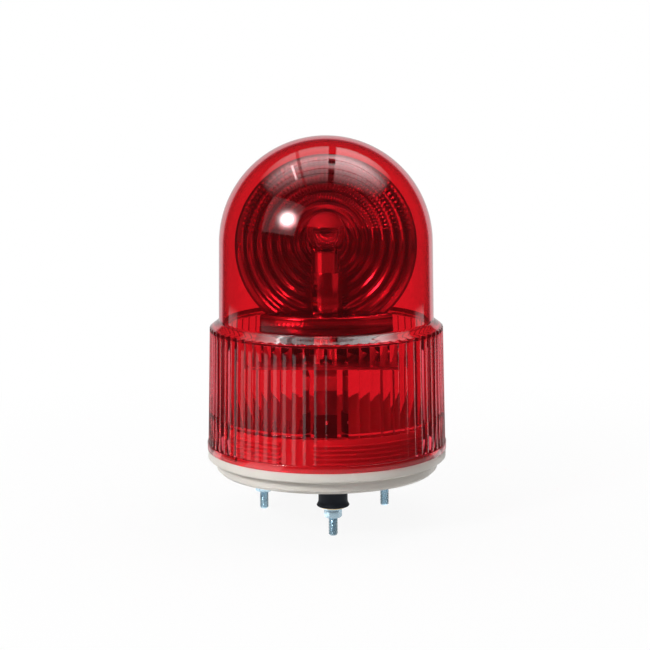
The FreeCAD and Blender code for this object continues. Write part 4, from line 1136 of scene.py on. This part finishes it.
class BEACON_OT_drive(bpy.types.Operator):
    """Models the turntable, its post and the motor drive"""
    bl_idname = "beacon.drive"
    bl_label = "Turntable and drive"

    def execute(self, context):
        soften_nodes(
            "turntable", "turntable_bush", "socket_post", "post_nut", "thrust_washer", "retaining_ring",
            "drive_pinion", "pinion_shaft", "gearbox_housing", "motor_can", "motor_end_cap", "end_cap_screw",
            "motor_tags", "motor_screws")
        return {"FINISHED"}


class BEACON_OT_base(bpy.types.Operator):
    """Models the base, the bridge on it and the terminal block"""
    bl_idname = "beacon.base"
    bl_label = "Base and bridge"

    def execute(self, context):
        soften_nodes(
            "base", "globe_seal", "cable_grommet", "chassis_bridge", "bridge_screws", "terminal_block",
            "terminal_screws")
        return {"FINISHED"}


class BEACON_OT_fixings(bpy.types.Operator):
    """Models the studs, their nuts and washers, and the rubber bushes"""
    bl_idname = "beacon.fixings"
    bl_label = "Studs and bushes"

    def execute(self, context):
        build_studs()
        build_bushes()
        soften_nodes("hex_nuts", "plain_washers", "spring_washers")
        return {"FINISHED"}


class BEACON_OT_stage(bpy.types.Operator):
    """Sets up the floor, the world, the lamps and the camera"""
    bl_idname = "beacon.stage"
    bl_label = "Stage"

    def execute(self, context):
        build_floor()
        build_world()
        build_lamps()
        build_camera()
        context.scene.view_settings.view_transform = "Standard"
        return {"FINISHED"}


STEPS = (
    BEACON_OT_globe, BEACON_OT_bowl, BEACON_OT_lamp, BEACON_OT_drive, BEACON_OT_base, BEACON_OT_fixings,
    BEACON_OT_stage,
)


class BEACON_PT_panel(bpy.types.Panel):
    """The beacon's pieces, in the order in which they are built"""
    bl_label = "Rotating beacon"
    bl_space_type = "VIEW_3D"
    bl_region_type = "UI"
    bl_category = "Beacon"

    def draw(self, context):
        for group in (context.scene.beacon_globe, context.scene.beacon_bowl, context.scene.beacon_colours):
            for name in group.__annotations__:
                self.layout.prop(group, name)
        for step in STEPS:
            self.layout.operator(step.bl_idname)


CLASSES = (GlobeSizes, BowlSizes, FinishColours) + STEPS + (BEACON_PT_panel,)


def register():
    for cls in CLASSES:
        bpy.utils.register_class(cls)
    bpy.types.Scene.beacon_globe = bpy.props.PointerProperty(type=GlobeSizes)
    bpy.types.Scene.beacon_bowl = bpy.props.PointerProperty(type=BowlSizes)
    bpy.types.Scene.beacon_colours = bpy.props.PointerProperty(type=FinishColours)


def unregister():
    del bpy.types.Scene.beacon_globe
    del bpy.types.Scene.beacon_bowl
    del bpy.types.Scene.beacon_colours
    for cls in reversed(CLASSES):
        bpy.utils.unregister_class(cls)


def main():
    register()
    for step in STEPS:
        group, name = step.bl_idname.split(".")
        getattr(getattr(bpy.ops, group), name)()


if __name__ == "__main__":
    main()
